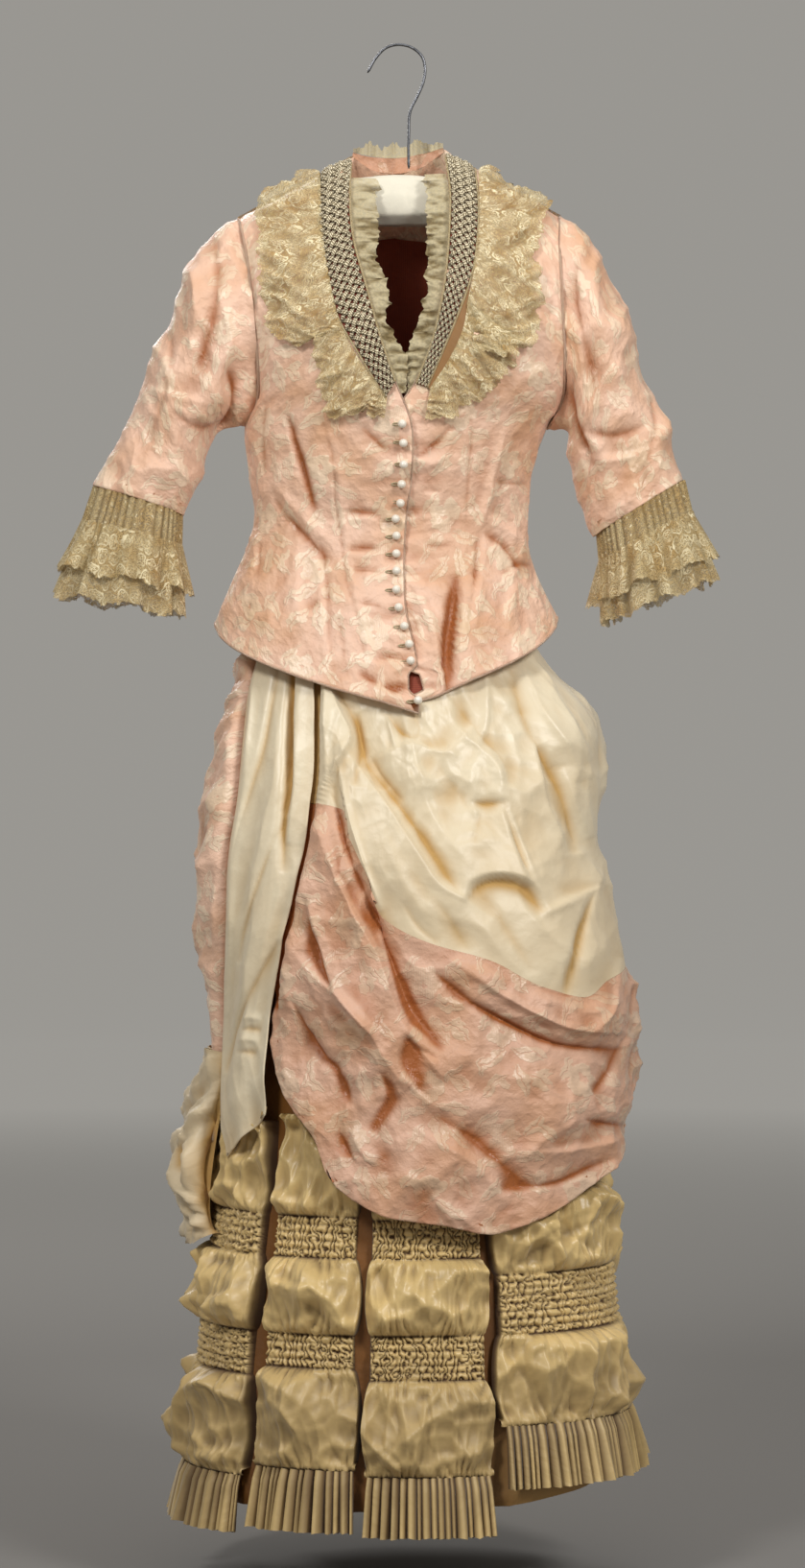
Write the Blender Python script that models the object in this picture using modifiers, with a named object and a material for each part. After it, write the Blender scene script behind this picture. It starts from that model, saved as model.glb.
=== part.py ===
"""A two-piece bustle dress of the 1880s on a padded hanger.

The bodice closes with ball buttons and has three-quarter sleeves, lace cuffs and a lace collar. The skirt is a
foundation tube with shirred satin panels and knife pleating, under a draped overskirt of satin and brocade.
Lengths are in millimetres until a mesh is made. The origin is the inside top of the hook, +Z is up and the
front faces -Y. Right and left are the wearer's, so the right side lies at -X.
"""

import bpy
import numpy as np

MM = 0.001  # metres in a millimetre

# Thicknesses and clearances
WALL = 1.6  # a sewn layer
THIN = 1.0  # lace, net and gauze
SEAM = 0.3  # between a piece and what it lies on
BUTT = 0.5  # between two pieces that meet edge to edge
SIDE_SEAM = 1.0  # between the outer edges of front and back, whose walls meet at an angle
ARMHOLE_EASE = 1.0  # between the bodice and a sleeve
BRAID_WALL = 3.0
BRAID_WIDTH = 34.0

# Bodice: a row for each section, from the shoulder seam to the hem. A section runs from its inner edge at the
# middle to its outer edge at the armhole or side seam, through the given turn of an ellipse.
FRONT_RIGHT = (  # inner x, y, z, outer x, y, z, sweep
    (-46, 12, -114, -165, 5, -180, 20),
    (-47, -12, -128, -162, -14, -188, 30),
    (-48, -38, -163, -156, -34, -214, 45),
    (-44, -62, -212, -150, -48, -252, 60),
    (-31, -80, -262, -146, -52, -292, 65),
    (-18, -90, -310, -143, -45, -332, 75),
    (-2, -95, -358, -144, -20, -372, 85),
    (14, -94, -400, -158, 8, -394, 90),
    (15, -86, -450, -155, 6, -445, 90),
    (9, -76, -500, -149, 4, -492, 90),
    (7, -80, -545, -157, 4, -522, 90),
    (9, -94, -592, -170, 5, -552, 90),
    (20, -108, -645, -182, 5, -580, 90),
    (22, -121, -697, -190, 5, -600, 90),
)
FRONT_LEFT = (  # inner x, y, z, outer x, y, z, sweep
    (48, 12, -109, 169, 5, -178, 20),
    (50, -12, -124, 168, -14, -187, 30),
    (54, -38, -158, 167, -34, -212, 45),
    (53, -62, -205, 168, -48, -250, 60),
    (48, -80, -255, 170, -52, -292, 65),
    (38, -88, -310, 172, -45, -330, 75),
    (19, -90, -358, 170, -20, -372, 85),
    (-8, -90.2, -400, 156, 8, -398, 90),
    (-8, -82.2, -450, 139, 6, -447, 90),
    (-12, -72.2, -500, 135, 4, -492, 90),
    (-14, -76.2, -545, 136, 4, -518, 90),
    (-12, -90.2, -592, 144, 5, -546, 90),
    (-4, -104.2, -645, 156, 5, -573, 90),
    (8, -115.2, -690, 167, 5, -594, 90),
)
# The back's middle line and its rear armholes; below the armholes its sides follow the fronts' side seams.
BACK_MIDDLE_X = -3
BACK_MIDDLE = (  # y, z, sweep
    (31, -129, 40),
    (48, -150, 45),
    (66, -190, 60),
    (78, -240, 70),
    (84, -290, 75),
    (86, -335, 80),
    (84, -372, 88),
    (80, -400, 90),
    (68, -450, 90),
    (56, -500, 90),
    (70, -540, 90),
    (106, -585, 90),
    (142, -625, 90),
    (172, -660, 90),
)
BACK_ARMHOLE_RIGHT = (  # x, y, z
    (-165, 8.6, -180),
    (-162, 26, -190),
    (-157, 42, -216),
    (-153, 52, -254),
    (-150, 54, -294),
    (-150, 46, -334),
    (-152, 30, -370),
)
BACK_ARMHOLE_LEFT = (  # x, y, z
    (169, 8.6, -178),
    (168, 26, -189),
    (167, 42, -214),
    (168, 52, -252),
    (170, 54, -294),
    (171, 46, -332),
    (168, 30, -370),
)
BACK_NECK = ((-27, 26, -126), (-46, 15.6, -114))  # x, y, z on the right side, out from the middle
BACK_NECK_LEFT = ((24, 26, -124), (48, 15.6, -109))
ARMHOLE_ROWS = 8  # the sections that end at the armhole
FRONT_COLUMNS = 7
BACK_COLUMNS = 5  # in each half

# Sleeves: a row for each ring, from its outer point to its inner point, with half its depth.
SLEEVE_RIGHT = (  # outer x, outer z, inner x, inner z, half depth
    (-184, -187, -166, -394, 55),
    (-205, -213, -174, -398, 56),
    (-226, -252, -184, -405, 55),
    (-243, -296, -193, -420, 53),
    (-260, -334, -202, -441, 50),
    (-280, -388, -212, -464, 46),
    (-298, -425, -219, -479, 44),
    (-315, -459, -225, -487, 42),
)
SLEEVE_LEFT = (  # outer x, outer z, inner x, inner z, half depth
    (192, -190, 177, -404, 55),
    (209, -213, 176, -413, 56),
    (226, -250, 177, -426, 56),
    (240, -292, 179, -442, 54),
    (254, -334, 184, -460, 51),
    (272, -386, 193, -480, 47),
    (287, -425, 202, -497, 45),
    (298, -452, 209, -508, 44),
)
# A cuff is a straight cone: its ring at the sleeve's end and its ring at the lowest lace edge.
CUFF_RIGHT = ((-315, -459, -225, -487, 42), (-350, -577, -232, -596, 60))
CUFF_LEFT = ((298, -452, 209, -508, 44), (323, -562, 222, -604, 60))
CUFF_TIERS = (  # name, start and end as shares of the cone, lift at the start, at the end, flute depth
    ("cuff_net", 0.005, 0.55, 0.0, 2.0, 0.0),
    ("cuff_lace_lower", 0.42, 1.0, THIN + SEAM + 2.0, 6.0, 6.0),
    ("cuff_lace_upper", 0.3, 0.78, THIN + SEAM + 1.4, 13.0, 7.0),
)

# Overskirt form: half widths to the wearer's right and left, depth to the front and back, at each height.
DRAPE = (  # z, right, left, front, back
    (-560, 137, 125, 60, 62),
    (-600, 138.3, 130.9, 64.8, 78.4),
    (-632, 147, 145, 79, 110),
    (-660, 160, 166, 92, 144),
    (-700, 173, 200, 106, 200),
    (-760, 187, 202, 122, 240),
    (-840, 196, 199, 139, 272),
    (-910, 195, 213, 150, 286),
    (-960, 188, 226, 155, 290),
    (-1012, 184, 229, 159, 284),
    (-1060, 185, 238, 163, 276),
    (-1110, 190, 242, 168, 266),
    (-1160, 197, 242, 173, 262),
    (-1230, 206, 238, 174, 262),
)
FOUNDATION = (  # z, right, left, front, back
    (-505, 146.8, 131.6, 66, 53.2),
    (-560, 136, 124, 58, 58),
    (-700, 146, 150, 84, 130),
    (-900, 158, 178, 124, 196),
    (-1110, 168, 200, 136, 214),
    (-1300, 195, 222, 150, 226),
    (-1500, 212, 240, 162, 238),
)
# Shirred panels: the turn at which each starts and ends, and its heights. 0 is the front, 90 the wearer's left.
PANELS = (  # start turn, end turn, columns, top, shirring, puff, shirring, puff, pleats, hem
    (-92, -47, 5, -1112, -1206, -1247, -1324, -1368, -1470, -1526),
    (-41, -12, 5, -1104, -1206, -1247, -1324, -1357, -1458, -1518),
    (-8, 23, 5, -1130, -1209, -1247, -1324, -1368, -1464, -1522),
    (27, 88, 6, -1130, -1180, -1265, -1286, -1325, -1416, -1477),
    (96, 138, 4, -1130, -1206, -1247, -1286, -1325, -1416, -1477),
    (146, 214, 5, -1130, -1206, -1247, -1324, -1368, -1464, -1518),
    (222, 262, 4, -1130, -1206, -1247, -1324, -1368, -1464, -1518),
)
CROSSED = 4  # the panel whose upper puff is folded crosswise and whose flounce is shorter
PUFF_DEPTH = 20  # how far a puff stands off the foundation
PUFF_SPREAD = 2.0  # how far, in degrees, a puff swells past its shirring
PUFF_EDGE = 0.04  # a puff's edge stands off as much as it does this share of its width in from the edge
PANEL_LIFT = WALL + SEAM + 0.35  # the last share clears the foundation's facets
HEM_RISE = ((-180, 0), (20, 0), (45, 12), (75, 28), (110, 28), (140, 0), (262, 0))  # turn, height
VALLEY_DEPTH = 14  # of the foundation between two panels, at the hem
VALLEY_TOP = -1110
PLEATS = 7  # in each flounce of the solid
PLEAT_DEPTH = 5
FLOUNCE_FLARE = 9

# Overskirt outlines, as x and z across the front, down from the bodice hem
SIDE_OUTER = (
    (-139, -606), (-143, -644), (-151, -678), (-160, -775), (-171, -854),
    (-173, -911), (-175, -978), (-177, -1045), (-176, -1150),
)
SIDE_INNER = (
    (-97, -606), (-101, -659), (-108, -740), (-113, -810), (-107, -876),
    (-119, -924), (-128, -970), (-128, -1010), (-145, -1084), (-164, -1150),
)
CREAM_LEFT_EDGE = ((-92, -606), (-93, -660), (-92, -740), (-86, -813))
BOUNDARY = (  # between the satin and the brocade
    (-86, -813), (-52, -822), (-42, -831), (-27, -881), (-14, -904),
    (31, -930), (83, -946), (142, -976), (180, -986), (203, -971),
)
BROCADE_LEFT_EDGE = (
    (-86, -813), (-97, -850), (-107, -905), (-114, -960), (-119, -1000),
    (-126, -1041), (-112, -1085), (-89, -1113), (-70, -1159),
)
BROCADE_HEM = (
    (-70, -1159), (-48, -1182), (1, -1204), (43, -1210),
    (93, -1220), (143, -1206), (181, -1188), (214, -1164),
)
TOP_Z = -606  # of every overskirt piece, under the bodice hem
SIDE_TURN = 90
SIDE_BOUNDARY_Z = -956
SIDE_HEM_Z = -1130
SEAM_TURN = 116  # where the front drapes meet the back drapery on the wearer's left
SEAM_BOUNDARY_Z = -944
SEAM_HEM_Z = -1108
SEAM_STEP = 0.35  # in degrees, between front and back at that seam
SIDE_STEP = 1.0  # in degrees, between the side panel and the back drapery
BACK_TURN = 190  # the middle of the back drapery
DRAPE_LIFT = 2.8  # off the overskirt form
SWAG_LIFT = 16  # of a drape's middle
FRONT_PATCH = (12, 8)  # columns and rows of a front drape
SIDE_PATCH = (4, 12)
BACK_PATCH = (12, 10)
POUF_PATCH = (12, 4)
BACK_HEM_Z = -1052
POUF_HEM_Z = -1238
POUF_HEM_RISE = 70  # on the wearer's left
POUF_LIFT = 54
POUF_LOW = 1.3  # above 1 the pouf is fullest below its middle

BAND_HEIGHTS = np.array([5.0, 14.0, 16.5, 14.5, 5.0])  # of the neck band, from the wearer's left neck point
FRILL_HEIGHT = 19
FRILL_WAVE = 2.5
FRILL_POINTS = 17
FRILL_LEAN = 2  # of its top toward the front
FRILL_REACH = (9, 10, 10, 9, 7, 4)  # of the neck frills past the front edges, from the shoulder down
FRILL_DROP = 4  # of their free edges behind the fronts

BUTTON_RADIUS = 4.5
BUTTONS = (  # x, z
    (6, -402), (7, -420), (8, -442), (5, -462), (4, -480),
    (-1, -498), (-1, -517), (-1, -535), (-1, -554), (-1, -573),
    (2, -592), (7, -611), (12, -630), (14, -647), (20, -687),
)

HOOK_WIRE = 1.5  # radius
HOOK = (  # x, z along the middle of the wire
    (12, -127.0), (12, -92), (14, -66), (21, -52), (27.5, -36), (29, -24),
    (26, -11), (17, -2.5), (0, 1.5), (-12, -2), (-22, -12), (-31, -28),
)
HOOK_POINTS = 22
PAD = (  # x, top z, half height, half depth
    (-156, -188, 9, 8),
    (-149, -175.6, 20, 13),
    (-122, -160.6, 26, 16),
    (-92, -144.0, 31, 18),
    (-46, -131, 33, 19),
    (0, -127, 34, 20),
    (50, -131, 33, 19),
    (96, -142.0, 31, 18),
    (126, -157.6, 26, 16),
    (152, -173.6, 20, 13),
    (159, -186, 9, 8),
)
PAD_SIDES = 12
PAD_Y = 6.0
PAD_SQUEEZE = 0.25  # how much narrower the pad is at its top than at its middle

COLOURS = {
    "brocade": (0.72, 0.42, 0.29),
    "satin": (0.67, 0.55, 0.33),
    "foundation": (0.12, 0.04, 0.01),
    "lining": (0.05, 0.01, 0.005),
    "lace": (0.58, 0.48, 0.29),
    "braid": (0.42, 0.42, 0.40),
    "pearl": (0.80, 0.76, 0.68),
    "pad": (0.75, 0.72, 0.62),
    "steel": (0.35, 0.35, 0.36),
}


def smooth(knots, values, at):
    """A cubic through the values, with each slope taken from its neighbours."""
    knots = np.asarray(knots, float)
    values = np.asarray(values, float)
    at = np.clip(np.asarray(at, float), knots[0], knots[-1])
    slopes = np.gradient(values, knots, axis=0)
    i = np.clip(np.searchsorted(knots, at) - 1, 0, len(knots) - 2)
    step = knots[i + 1] - knots[i]
    t = (at - knots[i]) / step
    if values.ndim > 1:
        step, t = step[..., None], t[..., None]
    ends = values[i] * (1 + 2 * t) * (1 - t) ** 2 + values[i + 1] * t * t * (3 - 2 * t)
    return ends + step * (slopes[i] * t * (1 - t) ** 2 - slopes[i + 1] * t * t * (1 - t))


def along(points, shares):
    """Points at shares of the length of a smooth curve through the given points."""
    points = np.asarray(points, float)
    reach = np.concatenate([[0], np.cumsum(np.linalg.norm(np.diff(points, axis=0), axis=1))])
    return smooth(reach / reach[-1], points, shares)


def on_form(table, turn, z):
    """The point of a form at a turn from the front, in degrees, and a height."""
    rows = np.asarray(table, float)[::-1]
    right, left, front, back = np.moveaxis(smooth(rows[:, 0], rows[:, 1:], z), -1, 0)
    angle = np.radians(turn)
    sine, cosine = np.sin(angle), np.cos(angle)
    x = np.where(sine < 0, right, left) * sine
    y = np.where(cosine > 0, -front, -back) * cosine
    return np.stack([x, y, z + 0 * x], -1)


def turned(table, outline):
    """An outline of x and z on the front of a form, as turns and heights."""
    rows = np.asarray(table, float)[::-1]
    x, z = np.asarray(outline, float).T
    sizes = smooth(rows[:, 0], rows[:, 1:], z)
    half = np.where(x < 0, sizes[:, 0], sizes[:, 1])
    return np.stack([np.degrees(np.arcsin(np.clip(x / half, -1, 1))), z], -1)


def patch(top, bottom, first, last, columns, rows):
    """A grid between four edges: top and bottom run across, first and last run down."""
    across = np.linspace(0, 1, columns + 1)
    down = np.linspace(0, 1, rows + 1)
    top, bottom = along(top, across)[None], along(bottom, across)[None]
    first, last = along(first, down)[:, None], along(last, down)[:, None]
    s, t = across[None, :, None], down[:, None, None]
    upper_corners = (1 - s) * top[:, :1] + s * top[:, -1:]
    lower_corners = (1 - s) * bottom[:, :1] + s * bottom[:, -1:]
    corners = (1 - t) * upper_corners + t * lower_corners
    return (1 - t) * top + t * bottom + (1 - s) * first + s * last - corners


def normals(grid, closed=False):
    """Unit normals of a grid of points that runs down and, seen from outside, to the right."""
    if closed:
        across = np.roll(grid, -1, axis=1) - np.roll(grid, 1, axis=1)
    else:
        across = np.gradient(grid, axis=1)
    down = np.gradient(grid, axis=0)
    out = np.cross(down, across)
    return out / np.linalg.norm(out, axis=-1, keepdims=True)


def moved_out(grid, distance, closed=False):
    """The grid moved along its normals; a distance may differ from point to point."""
    return grid + normals(grid, closed) * np.asarray(distance, float).reshape(np.shape(distance) + (1,))


def material(name):
    """A plain Principled material in one of the dress's colours."""
    found = bpy.data.materials.get(name)
    if found:
        return found
    made = bpy.data.materials.new(name)
    made.use_nodes = True
    shader = made.node_tree.nodes["Principled BSDF"]
    shader.inputs["Base Color"].default_value = (*COLOURS[name], 1)
    shader.inputs["Roughness"].default_value = 0.3 if name in ("steel", "pearl") else 0.6
    shader.inputs["Metallic"].default_value = 1.0 if name == "steel" else 0.0
    return made


def add(name, vertices, faces, colour):
    """A named mesh object in the dress's collection."""
    mesh = bpy.data.meshes.new(name)
    mesh.from_pydata((np.asarray(vertices) * MM).tolist(), [], faces)
    mesh.materials.append(material(colour))
    made = bpy.data.objects.new(name, mesh)
    dress.objects.link(made)
    return made


def grid_faces(rows, columns, closed):
    """Faces of a grid of rows by columns of points, each turned to face outside."""
    reach = columns if closed else columns - 1
    faces = []
    for upper in range(0, (rows - 1) * columns, columns):
        lower = upper + columns
        for i in range(reach):
            after = (i + 1) % columns
            faces.append((upper + i, lower + i, lower + after, upper + after))
    return faces


def shell(name, grid, colour, wall=WALL, closed=False):
    """A cloth wall whose outer surface is the grid."""
    rows, columns = grid.shape[:2]
    made = add(name, grid.reshape(-1, 3), grid_faces(rows, columns, closed), colour)
    solid = made.modifiers.new("Wall", "SOLIDIFY")
    solid.thickness = wall * MM
    solid.offset = -1
    solid.use_quality_normals = True
    return made


def section_grid(table, shares):
    """The sections of half a bodice as a grid; shares holds each section's places from its inner edge."""
    table = np.asarray(table, float)
    inner, outer = table[:, :3], table[:, 3:6]
    sweep = np.radians(table[:, 6])[:, None]
    x_share = np.sin(shares * sweep) / np.sin(sweep)
    y_share = (1 - np.cos(shares * sweep)) / (1 - np.cos(sweep))
    span = (outer - inner)[:, None]
    return inner[:, None] + span * np.stack([x_share, y_share, shares + 0 * sweep], -1)


def front_grid(table):
    """A front's grid, whose first column is as wide as the braid, from its inner edge outward."""
    table = np.asarray(table, float)
    first = BRAID_WIDTH / np.linalg.norm(table[:, 3:6] - table[:, :3], axis=1)[:, None]
    rest = np.linspace(0, 1, FRONT_COLUMNS)[None]
    return section_grid(table, np.concatenate([0 * first, first + (1 - first) * rest], axis=1))


def back_grid():
    """The back's grid, from the wearer's right armhole across the middle to the left one."""
    halves = []
    sides = ((FRONT_RIGHT, BACK_ARMHOLE_RIGHT, BACK_NECK), (FRONT_LEFT, BACK_ARMHOLE_LEFT, BACK_NECK_LEFT))
    for front, armhole, neck in sides:
        table = []
        for row, (y, z, sweep) in enumerate(BACK_MIDDLE):
            side = armhole[row] if row < len(armhole) else np.add(front[row][3:6], (0, SIDE_SEAM, 0))
            table.append((BACK_MIDDLE_X, y, z, *side, sweep))
        grid = section_grid(table, np.linspace(0, 1, BACK_COLUMNS + 1)[None].repeat(len(table), 0))
        shoulder = np.linspace(neck[-1], armhole[0], BACK_COLUMNS - 1)
        grid[0, 1:] = np.concatenate([neck[:1], shoulder])
        halves.append(grid)
    return np.concatenate([halves[0][:, ::-1], halves[1][:, 1:]], axis=1)[:, ::-1]


def build_bodice():
    """Fronts, back and the part of the lining that shows through the neck."""
    shell("bodice_front_right", right_front[:, ::-1], "brocade")
    shell("bodice_front_left", left_front, "brocade")
    shell("bodice_back", back, "brocade")
    shown = back[2:7, 2:-2]
    shell("bodice_lining", moved_out(shown, -WALL - SEAM), "lining", THIN)


def ring_turns():
    """The turns of a sleeve ring's points, which match the armhole's sections."""
    half = np.linspace(0, np.pi, ARMHOLE_ROWS)
    return np.concatenate([half, 2 * np.pi - half[-2:0:-1]])


def sleeve_rings(side, table, front, rear):
    """Rings from the armhole to the wrist, each starting at its outer point and passing the front first."""
    top = (front[0] + rear[0]) / 2
    armhole = np.concatenate([[top], front[1:ARMHOLE_ROWS], rear[ARMHOLE_ROWS - 2 : 0 : -1]])
    rings = [armhole + (side * ARMHOLE_EASE, 0, 0)]
    rings += [ellipse(row, ring_turns()) for row in table]
    return np.array(rings)


def ellipse(row, turns):
    """A ring from an outer and an inner point, with a half depth, at the given turns."""
    outer_x, outer_z, inner_x, inner_z, depth = row
    middle = np.array([(outer_x + inner_x) / 2, 0, (outer_z + inner_z) / 2])
    half = np.array([(outer_x - inner_x) / 2, 0, (outer_z - inner_z) / 2])
    turns = np.asarray(turns)[:, None]
    return middle + half * np.cos(turns) - np.array([0, depth, 0]) * np.sin(turns)


def cuff_grid(side, cone, start, end, start_lift, end_lift, flute, rows=1):
    """One tier of a cuff, on the cone, with a flute outward at every second point."""
    upper, lower = (ellipse(row, ring_turns()) for row in cone)
    shares = np.linspace(start, end, rows + 1)[:, None, None]
    rings = upper + (lower - upper) * shares
    doubled = np.stack([rings, (rings + np.roll(rings, -1, axis=1)) / 2], 2).reshape(rows + 1, -1, 3)
    if side > 0:
        doubled = doubled[:, ::-1]
    fall = np.linspace(0, 1, rows + 1)[:, None]
    lift = start_lift + (end_lift - start_lift) * fall + flute * fall * (np.arange(doubled.shape[1]) % 2)
    return moved_out(doubled, lift, closed=True)


def build_sleeves():
    """Both sleeves and the three tiers of each cuff."""
    sides = (
        ("right", -1, SLEEVE_RIGHT, right_front[:, -1], back[:, -1], CUFF_RIGHT),
        ("left", 1, SLEEVE_LEFT, left_front[:, -1], back[:, 0], CUFF_LEFT),
    )
    for name, side, table, front, rear, cone in sides:
        rings = sleeve_rings(side, table, front, rear)
        shell(f"sleeve_{name}", rings if side < 0 else rings[:, ::-1], "brocade", closed=True)
        for tier, start, end, start_lift, end_lift, flute in CUFF_TIERS:
            grid = cuff_grid(side, cone, start, end, start_lift, end_lift, flute)
            shell(f"{tier}_{name}", grid, "lace", THIN, closed=True)


def trimmed(grid, first, last):
    """The grid with its first and last columns moved inward by the given lengths."""
    made = grid.copy()
    for edge, near, length in ((0, 1, first), (-1, -2, last)):
        step = grid[:, near] - grid[:, edge]
        made[:, edge] += step * (length / np.linalg.norm(step, axis=-1, keepdims=True))
    return made


def build_collar():
    """Braid down the front edges, lace tiers beside it, lace round the back, band and frills at the neck."""
    for name, side, front in (("right", -1, right_front), ("left", 1, left_front)):
        facing = front[:, ::-1] if side < 0 else front
        braid = facing[:8, -2:].copy() if side < 0 else facing[:7, :2]
        if side < 0:  # it stops above the first button
            braid[-1] = (braid[-1] + braid[-2]) / 2
        shell(f"braid_{name}", moved_out(braid, SEAM + BRAID_WALL), "braid", BRAID_WALL)
        inner, outer = (0, BUTT) if side < 0 else (BUTT, 0)
        upper = facing[:6, 2:7] if side < 0 else facing[:6, 1:6]
        lower = facing[5:8, 3:7] if side < 0 else facing[5:8, 1:5]
        upper = trimmed(moved_out(upper, 2 * SEAM + 2 * THIN), inner, outer)
        lower = trimmed(moved_out(lower, SEAM + THIN), inner, outer)
        shell(f"collar_lace_upper_{name}", upper, "lace", THIN)
        shell(f"collar_lace_lower_{name}", lower, "lace", THIN)
        edge = moved_out(facing, -WALL - SEAM)[1:7, -1 if side < 0 else 0]
        reach = np.array([(-side * width, FRILL_DROP, 0) for width in FRILL_REACH])
        frill = np.stack([edge, edge + reach], 1)
        shell(f"neck_frill_{name}", frill if side < 0 else frill[:, ::-1], "lace", THIN)
    shell("collar_lace_back", moved_out(back[:3], SEAM + THIN), "lace", THIN)
    build_neck()


def build_neck():
    """The stand band round the back of the neck and the gauze frill above it."""
    up, back_way = np.array([0, 0, 1.0]), np.array([0, 1.0, 0])
    middle = (BACK_MIDDLE_X, *BACK_MIDDLE[0][:2])
    foot = np.array([*BACK_NECK_LEFT[::-1], middle, *BACK_NECK], float) + BUTT * up
    band = np.stack([foot + BAND_HEIGHTS[:, None] * up, foot], 0)
    shell("neck_band", band, "brocade", THIN)
    places = along(band[0], np.linspace(0, 1, FRILL_POINTS)) + BUTT * up
    wave = FRILL_WAVE * (np.arange(FRILL_POINTS) % 2)[:, None]
    top = places + (wave - FRILL_LEAN) * back_way + FRILL_HEIGHT * up
    shell("neck_frill_back", np.stack([top, places], 0), "lace", THIN)


def front_depth(x, z):
    """The y of the overlapping front's outer surface near its edge."""
    edge, beside = right_front[:, 0], right_front[:, 1]
    edge_x, edge_y = (np.interp(-z, -edge[:, 2], edge[:, axis]) for axis in (0, 1))
    next_x, next_y = (np.interp(-z, -beside[:, 2], beside[:, axis]) for axis in (0, 1))
    return edge_y + (next_y - edge_y) * (x - edge_x) / (next_x - edge_x)


def build_buttons():
    """Ball buttons on the overlapping front, along its middle."""
    for number, (x, z) in enumerate(BUTTONS, 1):
        y = front_depth(x, z)
        slope = (front_depth(x, z - BUTTON_RADIUS) - front_depth(x, z + BUTTON_RADIUS)) / (2 * BUTTON_RADIUS)
        out = np.array([0, -1, -slope]) / np.hypot(1, slope)
        place = np.array([x, y, z]) + out * (BUTTON_RADIUS + SEAM)
        radius = BUTTON_RADIUS * MM
        bpy.ops.mesh.primitive_uv_sphere_add(segments=8, ring_count=5, radius=radius, location=place * MM)
        button = bpy.context.object
        button.name = button.data.name = f"button_{number:02d}"
        button.data.materials.append(material("pearl"))
        button.data.shade_smooth()
        for holder in button.users_collection:
            holder.objects.unlink(button)
        dress.objects.link(button)


def foundation_turns():
    """Every turn at which the foundation has a fold line, and how far each lies into a valley."""
    turns, valleys = [], []
    for number, (start, end, columns, *_) in enumerate(PANELS):
        turns += np.linspace(start, end, columns + 1).tolist()
        valleys += [0.0] * (columns + 1)
        after = PANELS[(number + 1) % len(PANELS)][0] + (360 if number + 1 == len(PANELS) else 0)
        turns.append((end + after) / 2)
        valleys.append(1.0)
    return np.array(turns), np.array(valleys)


def foundation_points(turns, z, valleys=0.0):
    """Points of the foundation, which runs straight between the heights of its table."""
    rows = np.asarray(FOUNDATION, float)[::-1]
    right, left, front, back = (np.interp(z, rows[:, 0], rows[:, i]) for i in range(1, 5))
    angle = np.radians(turns)
    sine, cosine = np.sin(angle), np.cos(angle)
    depth = VALLEY_DEPTH * np.clip((VALLEY_TOP - z) / (VALLEY_TOP - FOUNDATION[-1][0]), 0, 1) * valleys
    x = (np.where(sine < 0, right, left) - depth) * sine
    y = (np.where(cosine > 0, -front, -back) + depth * np.sign(cosine)) * cosine
    return np.stack([x, y, z + 0 * x], -1)


def build_foundation():
    """The brown skirt tube that carries the panels."""
    turns, valleys = foundation_turns()
    heights = np.array([row[0] for row in FOUNDATION], float)[:, None] + 0 * turns
    heights[-1] += np.interp(turns, *np.transpose(HEM_RISE))
    grid = foundation_points(turns[None], heights, valleys[None])
    shell("skirt_foundation", grid, "foundation", closed=True)


def build_panel(number, row):
    """A shirred satin panel with its puffs, and the knife-pleated flounce below it."""
    start, end, columns, top, shirr_1, puff_1, shirr_2, puff_2, pleats, hem = row
    upper, lowest = (top + shirr_1) / 2, (puff_2 + pleats) / 2
    if number == CROSSED:
        heights = (top, upper, shirr_1, (shirr_1 + puff_1) / 2, puff_1, shirr_2, puff_2, lowest, pleats)
        puffed = (0, 0.3, 0.3, 1, 0, 0, 0, 1, 0.25)
    else:
        heights = (top, upper, shirr_1, puff_1, (puff_1 + shirr_2) / 2, shirr_2, puff_2, lowest, pleats)
        puffed = (0, 0.5, 0, 0, 1, 0, 0, 1, 0.25)
    heights, puffed = np.array(heights)[:, None], np.array(puffed)[:, None]
    shares = np.linspace(0, 1, columns + 1)[None]
    turns = start + (end - start) * shares
    base = foundation_points(turns, heights)
    spread = PUFF_SPREAD * puffed * (2 * shares - 1)
    swell = foundation_points(turns + spread, heights) - base
    rounded = np.sqrt(np.sin(np.pi * np.clip(shares, PUFF_EDGE, 1 - PUFF_EDGE)))
    grid = moved_out(base, PANEL_LIFT + PUFF_DEPTH * puffed * rounded) + swell
    shell(f"shirred_panel_{number}", grid, "satin")
    folds = 2 * PLEATS
    shares = np.linspace(0, 1, folds + 1)[None]
    flare = np.array([0.0, 1.0])[:, None]
    heights = np.array([pleats - BUTT, hem], float)[:, None]
    edge = along(grid[-1], shares[0])
    base = np.stack([edge - (0, 0, BUTT), edge + (0, 0, hem - pleats)], 0)
    rise = PLEAT_DEPTH * (np.arange(folds + 1) % 2) * flare + FLOUNCE_FLARE * flare
    shell(f"pleating_{number}", moved_out(base, rise), "satin", THIN)


def lifted(outline_grid, lift):
    """A patch of turns and heights laid on the overskirt form and moved out."""
    return moved_out(on_form(DRAPE, outline_grid[..., 0], outline_grid[..., 1]), lift)


def swag(rows, columns, first_row, last_row):
    """How far a drape stands out: most in its middle, least at its edges."""
    down = np.linspace(first_row, last_row, rows + 1)[:, None]
    across = np.linspace(0, 1, columns + 1)[None]
    return DRAPE_LIFT + SWAG_LIFT * np.sin(np.pi * down) ** 1.5 * np.sin(np.pi * across) ** 0.5


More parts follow.
